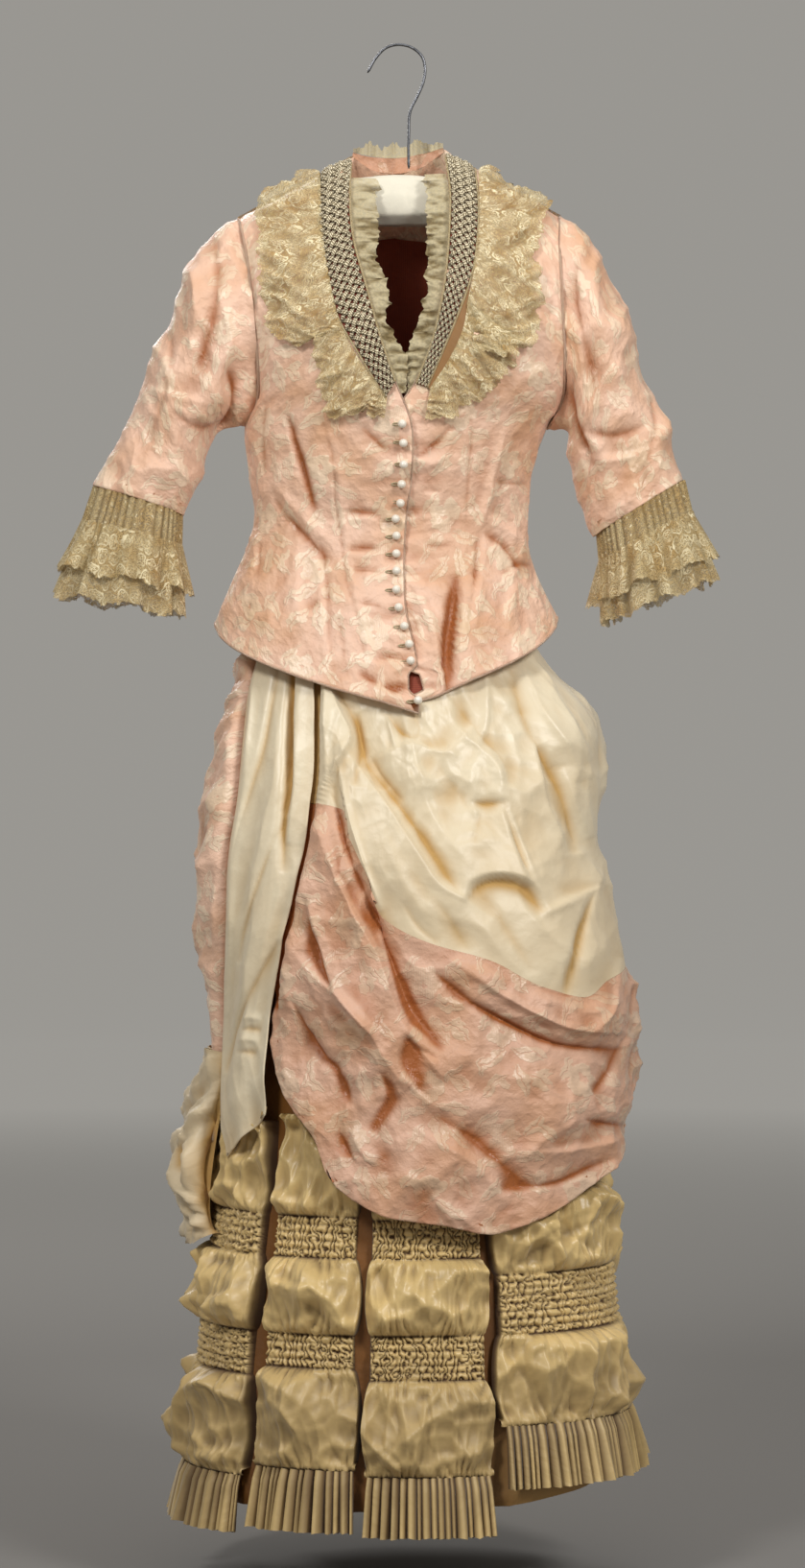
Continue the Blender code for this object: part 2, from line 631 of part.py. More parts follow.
def build_overskirt():
    """Side panel, front drapes, back drapery and back pouf."""
    outer, inner = turned(DRAPE, SIDE_OUTER), turned(DRAPE, SIDE_INNER)
    side = patch([outer[0], inner[0]], [outer[-1], inner[-1]], outer, inner, *SIDE_PATCH)
    shell("drape_side_panel", lifted(side, DRAPE_LIFT), "satin")
    beyond = [(SIDE_TURN, SIDE_BOUNDARY_Z), (SEAM_TURN, SEAM_BOUNDARY_Z)]
    boundary = np.concatenate([turned(DRAPE, BOUNDARY), beyond])
    build_front_satin(boundary)
    build_front_brocade(boundary - (0, BUTT))
    build_back_drapery(outer[:-1] + (360 - SIDE_STEP, 0))


def build_front_satin(boundary):
    """The satin drape from the bodice hem down to the boundary."""
    columns, rows = FRONT_PATCH
    right_edge = turned(DRAPE, CREAM_LEFT_EDGE)
    left_edge = [(SEAM_TURN, TOP_Z), (SEAM_TURN, SEAM_BOUNDARY_Z)]
    top = [right_edge[0], (0, TOP_Z), left_edge[0]]
    satin = patch(top, boundary, right_edge, left_edge, columns, rows)
    shell("drape_front_satin", lifted(satin, swag(rows, columns, 0, 0.5)), "satin")


def build_front_brocade(boundary):
    """The brocade drape from the boundary down to its hem."""
    columns, rows = FRONT_PATCH
    hem = np.concatenate([turned(DRAPE, BROCADE_HEM), [(SIDE_TURN, SIDE_HEM_Z), (SEAM_TURN, SEAM_HEM_Z)]])
    right_edge = turned(DRAPE, BROCADE_LEFT_EDGE) - (0, BUTT)
    left_edge = np.array([(SEAM_TURN, SEAM_BOUNDARY_Z), (SEAM_TURN, SEAM_HEM_Z)]) - (0, BUTT)
    brocade = patch(boundary, hem, right_edge, left_edge, columns, rows)
    shell("drape_front_brocade", lifted(brocade, swag(rows, columns, 0.5, 1)), "brocade")


def build_back_drapery(side_edge):
    """The brocade drapery over the bustle and the satin pouf below it, to the side panel's edge."""
    seam = SEAM_TURN + SEAM_STEP
    seam_edge = [(seam, TOP_Z), (seam, BACK_HEM_Z)]
    top = [seam_edge[0], (BACK_TURN, TOP_Z), side_edge[0]]
    bottom = np.array([seam_edge[-1], (BACK_TURN, BACK_HEM_Z), side_edge[-1]])
    drapery = patch(top, bottom, seam_edge, side_edge, *BACK_PATCH)
    shell("drape_back_brocade", lifted(drapery, DRAPE_LIFT), "brocade")

    columns, rows = POUF_PATCH
    top = bottom - (0, BUTT)
    hem = [(seam, POUF_HEM_Z + POUF_HEM_RISE), (BACK_TURN, POUF_HEM_Z), (side_edge[-1][0], POUF_HEM_Z)]
    pouf = patch(top, hem, [top[0], hem[0]], [top[-1], hem[-1]], columns, rows)
    down = np.linspace(0, 1, rows + 1)[:, None]
    across = np.linspace(0, 1, columns + 1)[None]
    full = np.sin(np.pi * down**POUF_LOW) ** 0.8 * np.sin(np.pi * across) ** 0.4
    shell("drape_back_pouf", lifted(pouf, DRAPE_LIFT + POUF_LIFT * full), "satin")


def build_hanger():
    """The wire hook and the padded bar that the shoulders rest on."""
    curve = bpy.data.curves.new("hanger_hook", "CURVE")
    curve.dimensions = "3D"
    curve.bevel_depth = HOOK_WIRE * MM
    curve.bevel_resolution = 2
    curve.use_fill_caps = True
    spline = curve.splines.new("POLY")
    x, z = along(HOOK, np.linspace(0, 1, HOOK_POINTS)).T
    places = np.stack([x, PAD_Y * np.linspace(1, 0, HOOK_POINTS) ** 2, z], -1)
    spline.points.add(len(places) - 1)
    for point, place in zip(spline.points, places * MM):
        point.co = (*place, 1)
    curve.materials.append(material("steel"))
    dress.objects.link(bpy.data.objects.new("hanger_hook", curve))

    turns = np.linspace(0, 2 * np.pi, PAD_SIDES, endpoint=False)
    x, top, height, depth = np.transpose(PAD)[..., None]
    y = PAD_Y + depth * np.sin(turns) * (1 - PAD_SQUEEZE * np.cos(turns))
    vertices = np.stack([x + 0 * turns, y, top - height + height * np.cos(turns)], -1)
    faces = grid_faces(len(PAD), PAD_SIDES, closed=True)
    last = (len(PAD) - 1) * PAD_SIDES
    faces.append(tuple(range(PAD_SIDES)))
    faces.append(tuple(last + i for i in range(PAD_SIDES))[::-1])
    pad = add("hanger_pad", vertices.reshape(-1, 3), faces, "pad")
    pad.data.shade_smooth()


for old in list(bpy.data.objects):
    bpy.data.objects.remove(old)
dress = bpy.data.collections.new("bustle_dress")
bpy.context.scene.collection.children.link(dress)

right_front = front_grid(FRONT_RIGHT)
left_front = front_grid(FRONT_LEFT)
back = back_grid()
build_hanger()
build_bodice()
build_sleeves()
build_collar()
build_buttons()
build_foundation()
for panel_number, panel_row in enumerate(PANELS, 1):
    build_panel(panel_number, panel_row)
build_overskirt()
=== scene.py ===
"""The finished look of a bustle dress of the 1880s on its padded hanger.

Each cloth, lace and trimming piece is a fine surface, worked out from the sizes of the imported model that
it stands over. Lengths are in millimetres until a mesh is made. The origin is the inside top of the hook, +Z
is up and the front faces -Y. Right and left are the wearer's, so the right side lies at -X.

Folds of the front are placed on a front elevation, in millimetres across and down from its upper left
corner, as a viewer sees the dress from VIEW_DISTANCE. Folds of hidden sides are placed in the cloth's own
lengths.
"""

import bpy
import numpy as np
from bpy.props import FloatProperty, FloatVectorProperty, IntProperty, PointerProperty
from bpy.types import Operator, Panel, PropertyGroup
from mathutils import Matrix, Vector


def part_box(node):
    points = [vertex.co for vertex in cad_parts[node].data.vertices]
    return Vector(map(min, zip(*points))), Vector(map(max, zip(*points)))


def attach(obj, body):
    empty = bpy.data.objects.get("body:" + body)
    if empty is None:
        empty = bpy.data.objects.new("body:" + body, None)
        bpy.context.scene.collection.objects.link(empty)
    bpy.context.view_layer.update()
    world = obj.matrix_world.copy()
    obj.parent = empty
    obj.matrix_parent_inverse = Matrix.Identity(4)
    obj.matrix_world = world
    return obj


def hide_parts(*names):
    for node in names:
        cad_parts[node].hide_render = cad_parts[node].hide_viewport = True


bl_info = {
    "name": "Bustle Dress",
    "version": (1, 0, 0),
    "blender": (4, 5, 0),
    "location": "3D View > Sidebar > Dress",
    "description": "Builds a bustle dress of cloth, lace and braid on its hanger, round the packed model",
    "category": "Add Mesh",
}

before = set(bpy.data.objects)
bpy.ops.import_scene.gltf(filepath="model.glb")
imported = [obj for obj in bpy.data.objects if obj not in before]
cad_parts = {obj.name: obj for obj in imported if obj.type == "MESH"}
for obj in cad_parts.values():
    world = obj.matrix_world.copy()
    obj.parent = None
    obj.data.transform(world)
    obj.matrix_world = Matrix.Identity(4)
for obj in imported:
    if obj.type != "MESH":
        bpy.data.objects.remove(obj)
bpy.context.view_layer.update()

MM = 0.001  # metres in a millimetre
UP = np.array([0, 0, 1.0])
REARWARD = np.array([0, 1.0, 0])

# The front elevation
VIEW_DISTANCE = 4200.0
EYE_X = 5.5
EYE_Z = -769.0
ELEVATION_AXIS = (414.0, 817.0)  # where x = 0 at the eye's height lies, across and down

WALL = 1.6  # how thick a hem's edge is
BUTT = 0.5  # between pieces that butt end to end

# Bodice sections from the shoulder seam to the hem. Each runs from its inner edge at the middle to its outer
# edge at the armhole or side seam, through the given turn of an ellipse.
FRONT_RIGHT = (  # inner x, y, z, outer x, y, z, sweep
    (-46, 12, -114, -165, 5, -180, 20),
    (-47, -12, -128, -162, -14, -188, 30),
    (-48, -38, -163, -156, -34, -214, 45),
    (-44, -62, -212, -150, -48, -252, 60),
    (-31, -80, -262, -146, -52, -292, 65),
    (-18, -90, -310, -143, -45, -332, 75),
    (-2, -95, -358, -144, -20, -372, 85),
    (14, -94, -400, -158, 8, -394, 90),
    (15, -86, -450, -155, 6, -445, 90),
    (9, -76, -500, -149, 4, -492, 90),
    (7, -80, -545, -157, 4, -522, 90),
    (9, -94, -592, -170, 5, -552, 90),
    (20, -108, -645, -182, 5, -580, 90),
    (22, -121, -697, -190, 5, -600, 90),
)
FRONT_LEFT = (  # inner x, y, z, outer x, y, z, sweep
    (48, 12, -109, 169, 5, -178, 20),
    (50, -12, -124, 168, -14, -187, 30),
    (54, -38, -158, 167, -34, -212, 45),
    (53, -62, -205, 168, -48, -250, 60),
    (48, -80, -255, 170, -52, -292, 65),
    (38, -88, -310, 172, -45, -330, 75),
    (19, -90, -358, 170, -20, -372, 85),
    (-8, -90.2, -400, 156, 8, -398, 90),
    (-8, -82.2, -450, 139, 6, -447, 90),
    (-12, -72.2, -500, 135, 4, -492, 90),
    (-14, -76.2, -545, 136, 4, -518, 90),
    (-12, -90.2, -592, 144, 5, -546, 90),
    (-4, -104.2, -645, 156, 5, -573, 90),
    (8, -115.2, -690, 167, 5, -594, 90),
)
BACK_MIDDLE_X = -3
BACK_MIDDLE = (  # y, z, sweep
    (31, -129, 40),
    (48, -150, 45),
    (66, -190, 60),
    (78, -240, 70),
    (84, -290, 75),
    (86, -335, 80),
    (84, -372, 88),
    (80, -400, 90),
    (68, -450, 90),
    (56, -500, 90),
    (70, -540, 90),
    (106, -585, 90),
    (142, -625, 90),
    (172, -660, 90),
)
BACK_ARMHOLE_RIGHT = (  # x, y, z
    (-165, 8.6, -180),
    (-162, 26, -190),
    (-157, 42, -216),
    (-153, 52, -254),
    (-150, 54, -294),
    (-150, 46, -334),
    (-152, 30, -370),
)
BACK_ARMHOLE_LEFT = (  # x, y, z
    (169, 8.6, -178),
    (168, 26, -189),
    (167, 42, -214),
    (168, 52, -252),
    (170, 54, -294),
    (171, 46, -332),
    (168, 30, -370),
)
BACK_NECK_RIGHT = ((-27, 26, -126), (-46, 15.6, -114))  # x, y, z out from the middle
BACK_NECK_LEFT = ((24, 26, -124), (48, 15.6, -109))
ARMHOLE_ROWS = 8
SIDE_SEAM = 1.0  # how far behind the fronts' side edges the back's lie
ARMHOLE_EASE = 1.0

SLEEVE_RIGHT = (  # outer x, outer z, inner x, inner z, half depth
    (-184, -187, -166, -394, 55),
    (-205, -213, -174, -398, 56),
    (-226, -252, -184, -405, 55),
    (-243, -296, -193, -420, 53),
    (-260, -334, -202, -441, 50),
    (-280, -388, -212, -464, 46),
    (-298, -425, -219, -479, 44),
    (-315, -459, -225, -487, 42),
)
SLEEVE_LEFT = (  # outer x, outer z, inner x, inner z, half depth
    (192, -190, 177, -404, 55),
    (209, -213, 176, -413, 56),
    (226, -250, 177, -426, 56),
    (240, -292, 179, -442, 54),
    (254, -334, 184, -460, 51),
    (272, -386, 193, -480, 47),
    (287, -425, 202, -497, 45),
    (298, -452, 209, -508, 44),
)
CUFF_RIGHT = ((-315, -459, -225, -487, 42), (-350, -577, -232, -596, 60))
CUFF_LEFT = ((298, -452, 209, -508, 44), (323, -562, 222, -604, 60))

# Skirt forms: half widths to the wearer's right and left, depth to the front and back, at each height
DRAPE = (  # z, right, left, front, back
    (-560, 137, 125, 60, 62),
    (-600, 138.3, 130.9, 64.8, 78.4),
    (-632, 147, 145, 79, 110),
    (-660, 160, 166, 92, 144),
    (-700, 173, 200, 106, 200),
    (-760, 187, 202, 122, 240),
    (-840, 196, 199, 139, 272),
    (-910, 195, 213, 150, 286),
    (-960, 188, 226, 155, 290),
    (-1012, 184, 229, 159, 284),
    (-1060, 185, 238, 163, 276),
    (-1110, 190, 242, 168, 266),
    (-1160, 197, 242, 173, 262),
    (-1230, 206, 238, 174, 262),
)
FOUNDATION = (  # z, right, left, front, back
    (-505, 146.8, 131.6, 66, 53.2),
    (-560, 136, 124, 58, 58),
    (-700, 146, 150, 84, 130),
    (-900, 158, 178, 124, 196),
    (-1110, 168, 200, 136, 214),
    (-1300, 195, 222, 150, 226),
    (-1500, 212, 240, 162, 238),
)
PANELS = (  # start turn, end turn, top, shirring, puff, shirring, puff, pleats, hem
    (-92, -47, -1112, -1206, -1247, -1324, -1368, -1470, -1526),
    (-41, -12, -1104, -1206, -1247, -1324, -1357, -1458, -1518),
    (-8, 23, -1130, -1209, -1247, -1324, -1368, -1464, -1522),
    (27, 88, -1130, -1180, -1265, -1286, -1325, -1416, -1477),
    (96, 138, -1130, -1206, -1247, -1286, -1325, -1416, -1477),
    (146, 214, -1130, -1206, -1247, -1324, -1368, -1464, -1518),
    (222, 262, -1130, -1206, -1247, -1324, -1368, -1464, -1518),
)
CROSSED = 4  # the panel with two shirred bands close together and a shorter flounce
HEM_RISE = ((-180, 0), (20, 0), (45, 12), (75, 28), (110, 28), (140, 0), (262, 0))  # turn, height
VALLEY_DEPTH = 14  # of the foundation between two panels, at the hem
VALLEY_TOP = -1110

# Overskirt outlines, as x and z across the front, down from the bodice hem
SIDE_OUTER = (
    (-139, -606), (-143, -644), (-151, -678), (-160, -775), (-171, -854),
    (-173, -911), (-175, -978), (-177, -1045), (-176, -1150),
)
SIDE_INNER = (
    (-80, -606), (-82, -641), (-82.5, -703), (-84, -766), (-87, -789), (-91, -823), (-101, -868),
    (-108, -901), (-115, -929), (-119, -957), (-126, -1003), (-129, -1050), (-131, -1080), (-134, -1104),
)
SATIN_RIGHT_EDGE = ((-92, -606), (-93, -660), (-92, -740), (-86, -785))
BOUNDARY = (  # between the satin and the brocade
    (-86, -785), (-75, -791), (-58, -795), (-47, -801), (-42.5, -823), (-38, -839), (-26, -868), (-14, -904),
    (31, -930), (83, -946), (142, -976), (180, -986), (203, -971),
)
BROCADE_RIGHT_EDGE = (
    (-86, -785), (-97, -850), (-107, -905), (-114, -960), (-119, -1000),
    (-126, -1041), (-112, -1085), (-89, -1113), (-70, -1159),
)
BROCADE_HEM = (
    (-70, -1159), (-48, -1182), (1, -1204), (43, -1210),
    (93, -1220), (143, -1206), (181, -1188), (214, -1164),
)
TOP_Z = -606
SIDE_TURN = 90
SIDE_BOUNDARY_Z = -956
SIDE_HEM_Z = -1130
SEAM_TURN = 116
SEAM_BOUNDARY_Z = -944
SEAM_HEM_Z = -1108
SEAM_STEP = 1.2  # degrees that the back drapery runs under the front drapes
SIDE_STEP = 2.6  # and under the side panel
BACK_TURN = 190
DRAPE_LIFT = 2.8
SWAG_LIFT = 16  # of the front drapes' middle
BACK_HEM_Z = -1052
POUF_HEM_Z = -1238
POUF_HEM_RISE = 70  # at the left side seam
POUF_LIFT = 54
POUF_LOW = 1.3  # above 1, the pouf is fullest in its lower half

BUTTON_COUNT = 15
HOOK = (  # x, z along the middle of the wire
    (12, -127.0), (12, -92), (14, -66), (21, -52), (27.5, -36), (29, -24),
    (26, -11), (17, -2.5), (0, 1.5), (-12, -2), (-22, -12), (-31, -28),
)
PAD = (  # x, top z, half height, half depth
    (-156, -188, 9, 8),
    (-149, -175.6, 20, 13),
    (-122, -160.6, 26, 16),
    (-92, -144.0, 31, 18),
    (-46, -131, 33, 19),
    (0, -127, 34, 20),
    (50, -131, 33, 19),
    (96, -142.0, 31, 18),
    (126, -157.6, 26, 16),
    (152, -173.6, 20, 13),
    (159, -186, 9, 8),
)
PAD_Y = 6.0
PAD_SQUEEZE = 0.25


# ---------------------------------------------------------------- shapes


def smooth(knots, values, at):
    """A cubic through the values, with each slope taken from its neighbours."""
    knots = np.asarray(knots, float)
    values = np.asarray(values, float)
    at = np.clip(np.asarray(at, float), knots[0], knots[-1])
    slopes = np.gradient(values, knots, axis=0)
    i = np.clip(np.searchsorted(knots, at) - 1, 0, len(knots) - 2)
    step = knots[i + 1] - knots[i]
    t = (at - knots[i]) / step
    extra = (1,) * (values.ndim - 1)
    step, t = step.reshape(step.shape + extra), t.reshape(t.shape + extra)
    ends = values[i] * (1 + 2 * t) * (1 - t) ** 2 + values[i + 1] * t * t * (3 - 2 * t)
    return ends + step * (slopes[i] * t * (1 - t) ** 2 - slopes[i + 1] * t * t * (1 - t))


def along(points, shares):
    """Points at shares of the length of a smooth curve through the given points."""
    points = np.asarray(points, float)
    reach = np.concatenate([[0], np.cumsum(np.linalg.norm(np.diff(points, axis=0), axis=1))])
    return smooth(reach / reach[-1], points, shares)


def unit(vectors):
    """The vectors at length 1."""
    return vectors / np.maximum(np.linalg.norm(vectors, axis=-1, keepdims=True), 1e-9)


def eased(value, low, high):
    """0 below low, 1 above high, and 3t^2 - 2t^3 between them."""
    t = np.clip((np.asarray(value, float) - low) / (high - low), 0, 1)
    return t * t * (3 - 2 * t)


def shares_down(rows):
    """Shares from 0 to 1 as a column, one for each row of a grid."""
    return np.linspace(0, 1, rows + 1)[:, None]


def shares_across(columns):
    """Shares from 0 to 1 as a row, one for each column of a grid."""
    return np.linspace(0, 1, columns + 1)[None]


def on_form(table, turn, z):
    """The point of a form at a turn from the front, in degrees, and a height: an ellipse with its own radius
    in each quarter."""
    rows = np.asarray(table, float)[::-1]
    right, left, front, back = np.moveaxis(smooth(rows[:, 0], rows[:, 1:], z), -1, 0)
    angle = np.radians(turn)
    sine, cosine = np.sin(angle), np.cos(angle)
    x = np.where(sine < 0, right, left) * sine
    y = np.where(cosine > 0, -front, -back) * cosine
    return np.stack([x, y, z + 0 * x], -1)


def turned(table, outline):
    """An outline of x and z on the front of a form, as turns and heights."""
    rows = np.asarray(table, float)[::-1]
    x, z = np.asarray(outline, float).T
    sizes = smooth(rows[:, 0], rows[:, 1:], z)
    half = np.where(x < 0, sizes[:, 0], sizes[:, 1])
    return np.stack([np.degrees(np.arcsin(np.clip(x / half, -1, 1))), z], -1)


def patch(top, bottom, first, last, columns, rows):
    """A grid between four edges: the sum of the two ruled grids less the one ruled between the corners."""
    across = np.linspace(0, 1, columns + 1)
    down = np.linspace(0, 1, rows + 1)
    top, bottom = along(top, across)[None], along(bottom, across)[None]
    first, last = along(first, down)[:, None], along(last, down)[:, None]
    s, t = across[None, :, None], down[:, None, None]
    upper_corners = (1 - s) * top[:, :1] + s * top[:, -1:]
    lower_corners = (1 - s) * bottom[:, :1] + s * bottom[:, -1:]
    corners = (1 - t) * upper_corners + t * lower_corners
    return (1 - t) * top + t * bottom + (1 - s) * first + s * last - corners


def normals(grid, closed=False):
    """Unit normals of a grid of points that runs down and, seen from outside, to the right."""
    places = grid[..., :3]
    if closed:
        across = np.roll(places, -1, axis=1) - np.roll(places, 1, axis=1)
    else:
        across = np.gradient(places, axis=1)
    return unit(np.cross(np.gradient(places, axis=0), across))


def moved_out(grid, distance, closed=False):
    """The grid moved along its normals; a distance may differ from point to point."""
    return grid + normals(grid, closed) * np.asarray(distance, float).reshape(np.shape(distance) + (1,))


def sample(grid, row, column):
    """A grid's values at fractions of rows and columns, straight between its points."""
    row = np.clip(row, 0, grid.shape[0] - 1.001)
    column = np.clip(column, 0, grid.shape[1] - 1.001)
    i, j = row.astype(int), column.astype(int)
    s, t = (row - i)[..., None], (column - j)[..., None]
    upper = grid[i, j] * (1 - t) + grid[i, j + 1] * t
    lower = grid[i + 1, j] * (1 - t) + grid[i + 1, j + 1] * t
    return upper * (1 - s) + lower * s


def elevation(points):
    """Where points appear on the front elevation: x and z, scaled by the viewer's distance over their own."""
    scale = VIEW_DISTANCE / (VIEW_DISTANCE + points[..., 1])
    across = ELEVATION_AXIS[0] + EYE_X + (points[..., 0] - EYE_X) * scale
    down = ELEVATION_AXIS[1] - (points[..., 2] - EYE_Z) * scale
    return np.stack([across, down], -1)


def located(grid, places):
    """The rows and columns at which a grid appears at places of the elevation, by Newton's steps."""
    seen = elevation(grid)
    steps = np.stack([np.gradient(seen, axis=0), np.gradient(seen, axis=1)], -1)
    flat = steps.reshape(steps.shape[:2] + (4,))
    row = np.full(places.shape[:-1], grid.shape[0] / 2.0)
    column = np.full(places.shape[:-1], grid.shape[1] / 2.0)
    for _ in range(30):
        miss = places - sample(seen, row, column)
        a, b, c, d = np.moveaxis(sample(flat, row, column), -1, 0)
        area = a * d - b * c
        area = np.where(np.abs(area) < 0.05, np.where(area < 0, -0.05, 0.05), area)
        row = np.clip(row + 0.7 * (d * miss[..., 0] - b * miss[..., 1]) / area, 0, grid.shape[0] - 1)
        column = np.clip(column + 0.7 * (a * miss[..., 1] - c * miss[..., 0]) / area, 0, grid.shape[1] - 1)
    return row, column


def wave_field(places, spacing, seed, waves=14):
    """An uneven field of about -1 to 1: a sum of sine waves near the spacing, each its own way."""
    draw = np.random.default_rng(seed)
    ways = unit(draw.normal(size=(waves, places.shape[-1]))) * draw.uniform(0.6, 1.5, (waves, 1))
    phases = draw.uniform(0, 2 * np.pi, waves)
    waved = np.sin((places / np.asarray(spacing)) @ ways.T * (2 * np.pi) + phases)
    return waved.sum(-1) / np.sqrt(waves)


def crumpled(places, spacing, seed):
    """Hollow facets that meet in crisp ridges, from about -1 to 1: at each spot the least, over the centres
    scattered round it that far apart, of the distance squared plus the centre's own height; and less of one
    half as wide."""
    draw = np.random.default_rng(seed)
    total = 0
    for share in (1.0, 0.45):
        turn = draw.uniform(0, 3)
        way = np.array([[np.cos(turn), np.sin(turn)], [-np.sin(turn), np.cos(turn)]]) / share
        at = (places / np.asarray(spacing)) @ way
        shifts = [wave_field(at, 2.1, seed + number, 6) for number in (100, 200)]
        at = at + 0.16 * np.stack(shifts, -1)
        cell = np.floor(at).astype(int)
        table = draw.uniform((0.05, 0.05, 0), (0.95, 0.95, 0.35), (64, 64, 3))
        least = np.full(at.shape[:-1], 9.0)
        for step in np.ndindex(3, 3):
            near = cell + step - 1
            centre = table[near[..., 0] % 64, near[..., 1] % 64]
            least = np.minimum(least, ((near + centre[..., :2] - at) ** 2).sum(-1) + centre[..., 2])
        total = total + share**1.2 * (least - 0.32) / 0.3
    return total / 1.2


def fold_heights(places, folds):
    """The sum of all folds at the places. A fold is its depth, its width left and right of its path, its
    sharpness and its path: depth times exp(-(distance / width) ** sharpness), fading as sin ** 0.6 to the
    path's ends."""
    heights = np.zeros(places.shape[:-1])
    for depth, left, right, sharpness, *pairs in folds:
        points = np.reshape(pairs, (-1, 2))
        path = along(points, np.linspace(0, 1, 3 * len(points) + 2))
        reach = 3.2 * max(left, right)
        near = ((places > path.min(0) - reach) & (places < path.max(0) + reach)).all(-1)
        if not near.any():
            continue
        spots = places[near]
        start, step = path[:-1], np.diff(path, axis=0)
        length = np.linalg.norm(step, axis=1)
        done = np.concatenate([[0], np.cumsum(length)])
        gap = spots[:, None] - start
        share = np.clip((gap * step).sum(-1) / length**2, 0, 1)
        off = gap - share[..., None] * step
        distance = np.linalg.norm(off, axis=-1)
        best = distance.argmin(1)
        pick = np.arange(len(spots))
        side = step[best, 1] * off[pick, best, 0] - step[best, 0] * off[pick, best, 1]
        width = np.where(side > 0, right, left)
        run = (done[best] + share[pick, best] * length[best]) / done[-1]
        profile = np.exp(-((distance[pick, best] / width) ** sharpness))
        heights[near] += depth * np.sin(np.pi * run) ** 0.6 * profile
    return heights


def softened(field, reach):
    """The field averaged over a square of that many rows and columns either way."""
    for axis in (0, 1):
        pad = [(reach + 1, reach) if a == axis else (0, 0) for a in (0, 1)]
        total = np.cumsum(np.pad(field, pad, mode="edge"), axis=axis)
        upper = np.take(total, range(2 * reach + 1, total.shape[axis]), axis=axis)
        lower = np.take(total, range(0, total.shape[axis] - 2 * reach - 1), axis=axis)
        field = (upper - lower) / (2 * reach + 1)
    return field


def hollows(heights, reach=9, depth=4.0):
    """How deep each point lies below its surroundings, from 0 to 1: the share of painted shade it gets."""
    return np.clip((softened(heights, reach) - heights) / depth, 0, 1)


def shaded(grid, shade):
    """The grid with its shade as a fourth value of each point: painted shade on most pieces, and on brown
    cotton its fade toward tan.
    """
    return np.concatenate([grid, np.broadcast_to(shade, grid.shape[:2])[..., None]], -1)


def turned_in(grid, sides, closed=False, depth=7.0):
    """The grid with a hem on each named side: it rolls over by its thickness and runs back inside, and its
    inner row takes painted shade.
    """
    for side in sides:
        if grid.shape[-1] == 3:
            grid = shaded(grid, 0.0)
        facing = np.concatenate([normals(grid, closed), np.zeros(grid.shape[:2] + (1,))], -1)
        work, out = (grid, facing) if side in "tb" else (grid.swapaxes(0, 1), facing.swapaxes(0, 1))
        if side in "tl":
            work, out = work[::-1], out[::-1]
        away = work[-1] - work[-3]
        away[..., 3] = 0
        away = unit(away)
        # painted shade on the hem's inner row
        inner_rim_shade = np.array([0, 0, 0, 0.7])
        rim = [
            work[-1] + 0.5 * away - WALL / 2 * out[-1],
            work[-1] - WALL * out[-1],
            work[-1] - depth * away - 2.2 * out[-1] + inner_rim_shade,
        ]
        work = np.concatenate([work, np.array(rim)])
        if side in "tl":
            work = work[::-1]
        grid = work if side in "tb" else work.swapaxes(0, 1)
    return grid


def arc_lengths(grid, axis, closed=False):
    """Each point's length along its row or column from the first one."""
    places = grid[..., :3]
    if closed:
        places = np.concatenate([places, places[:, :1]], 1)
    steps = np.linalg.norm(np.diff(places, axis=axis), axis=-1)
    start = np.zeros_like(np.take(steps, [0], axis=axis))
    return np.cumsum(np.concatenate([start, steps], axis=axis), axis=axis)


def cloth_lengths(grid, closed=False):
    """UV in metres: lengths along each row from its middle, and down the middle column."""
    across = arc_lengths(grid, 1, closed)
    middle = across.shape[1] // 2
    across = across - across[:, middle : middle + 1]
    down = arc_lengths(grid, 0)
    down = down.mean(axis=1, keepdims=True) + 0 * across
    return np.stack([across, -down], -1) * MM


def surface(name, grid, finish, closed=False, uv=None, ridden=True):
    """A mesh object from a grid, with its cloth lengths as UV and any shade of its own as an attribute."""
    rows, columns = grid.shape[:2]
    uv = cloth_lengths(grid, closed) if uv is None else uv
    index = np.arange(rows * columns).reshape(rows, columns)
    if closed:
        index = np.concatenate([index, index[:, :1]], 1)
    corners = (slice(None, -1), slice(None, -1)), (slice(1, None), slice(None, -1))
    corners += (slice(1, None), slice(1, None)), (slice(None, -1), slice(1, None))
    faces = np.stack([index[corner] for corner in corners], -1).reshape(-1, 4)
    mesh = bpy.data.meshes.new(name)
    mesh.from_pydata((grid[..., :3].reshape(-1, 3) * MM).tolist(), [], faces.tolist())
    layer = mesh.uv_layers.new(name="Cloth")
    layer.data.foreach_set("uv", np.stack([uv[corner] for corner in corners], 2).ravel())
    if grid.shape[-1] > 3:
        shade = mesh.attributes.new("shade", "FLOAT", "POINT")
        shade.data.foreach_set("value", grid[..., 3].ravel())
    mesh.shade_smooth()
    return placed(name, mesh, finish, ridden)


def placed(name, mesh, finish, ridden=True):
    """An object of the mesh with its finish, which rides on the dress or belongs to the stage."""
    mesh.materials.append(finish)
    made = bpy.data.objects.new(name, mesh)
    bpy.context.scene.collection.objects.link(made)
    if ridden:
        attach(made, "root")
    return made


def cloth(name, grid, finish, stands_for, closed=False, uv=None):
    """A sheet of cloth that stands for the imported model's nodes."""
    piece = surface(name, grid, finish, closed, uv)
    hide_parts(*stands_for)
    return piece


def tube(path, radius, sides=8, radii=1.0):
    """Rings of points round a path, on axes carried along it, as a grid closed round the tube."""
    path = np.asarray(path, float)
    heading = unit(np.gradient(path, axis=0))
    start = np.cross(heading[0], (0.0, 1.0, 0.0))
    if np.linalg.norm(start) < 0.1:
        start = np.cross(heading[0], (1.0, 0.0, 0.0))
    axes = [unit(start)]
    for way in heading[1:]:
        axes.append(unit(axes[-1] - way * (axes[-1] @ way)))
    first = np.array(axes)
    second = np.cross(heading, first)
    turns = np.linspace(0, 2 * np.pi, sides, endpoint=False)[None, :, None]
    reach = (radius * np.broadcast_to(radii, len(path)))[:, None, None]
    return path[:, None] + reach * (np.cos(turns) * first[:, None] + np.sin(turns) * second[:, None])


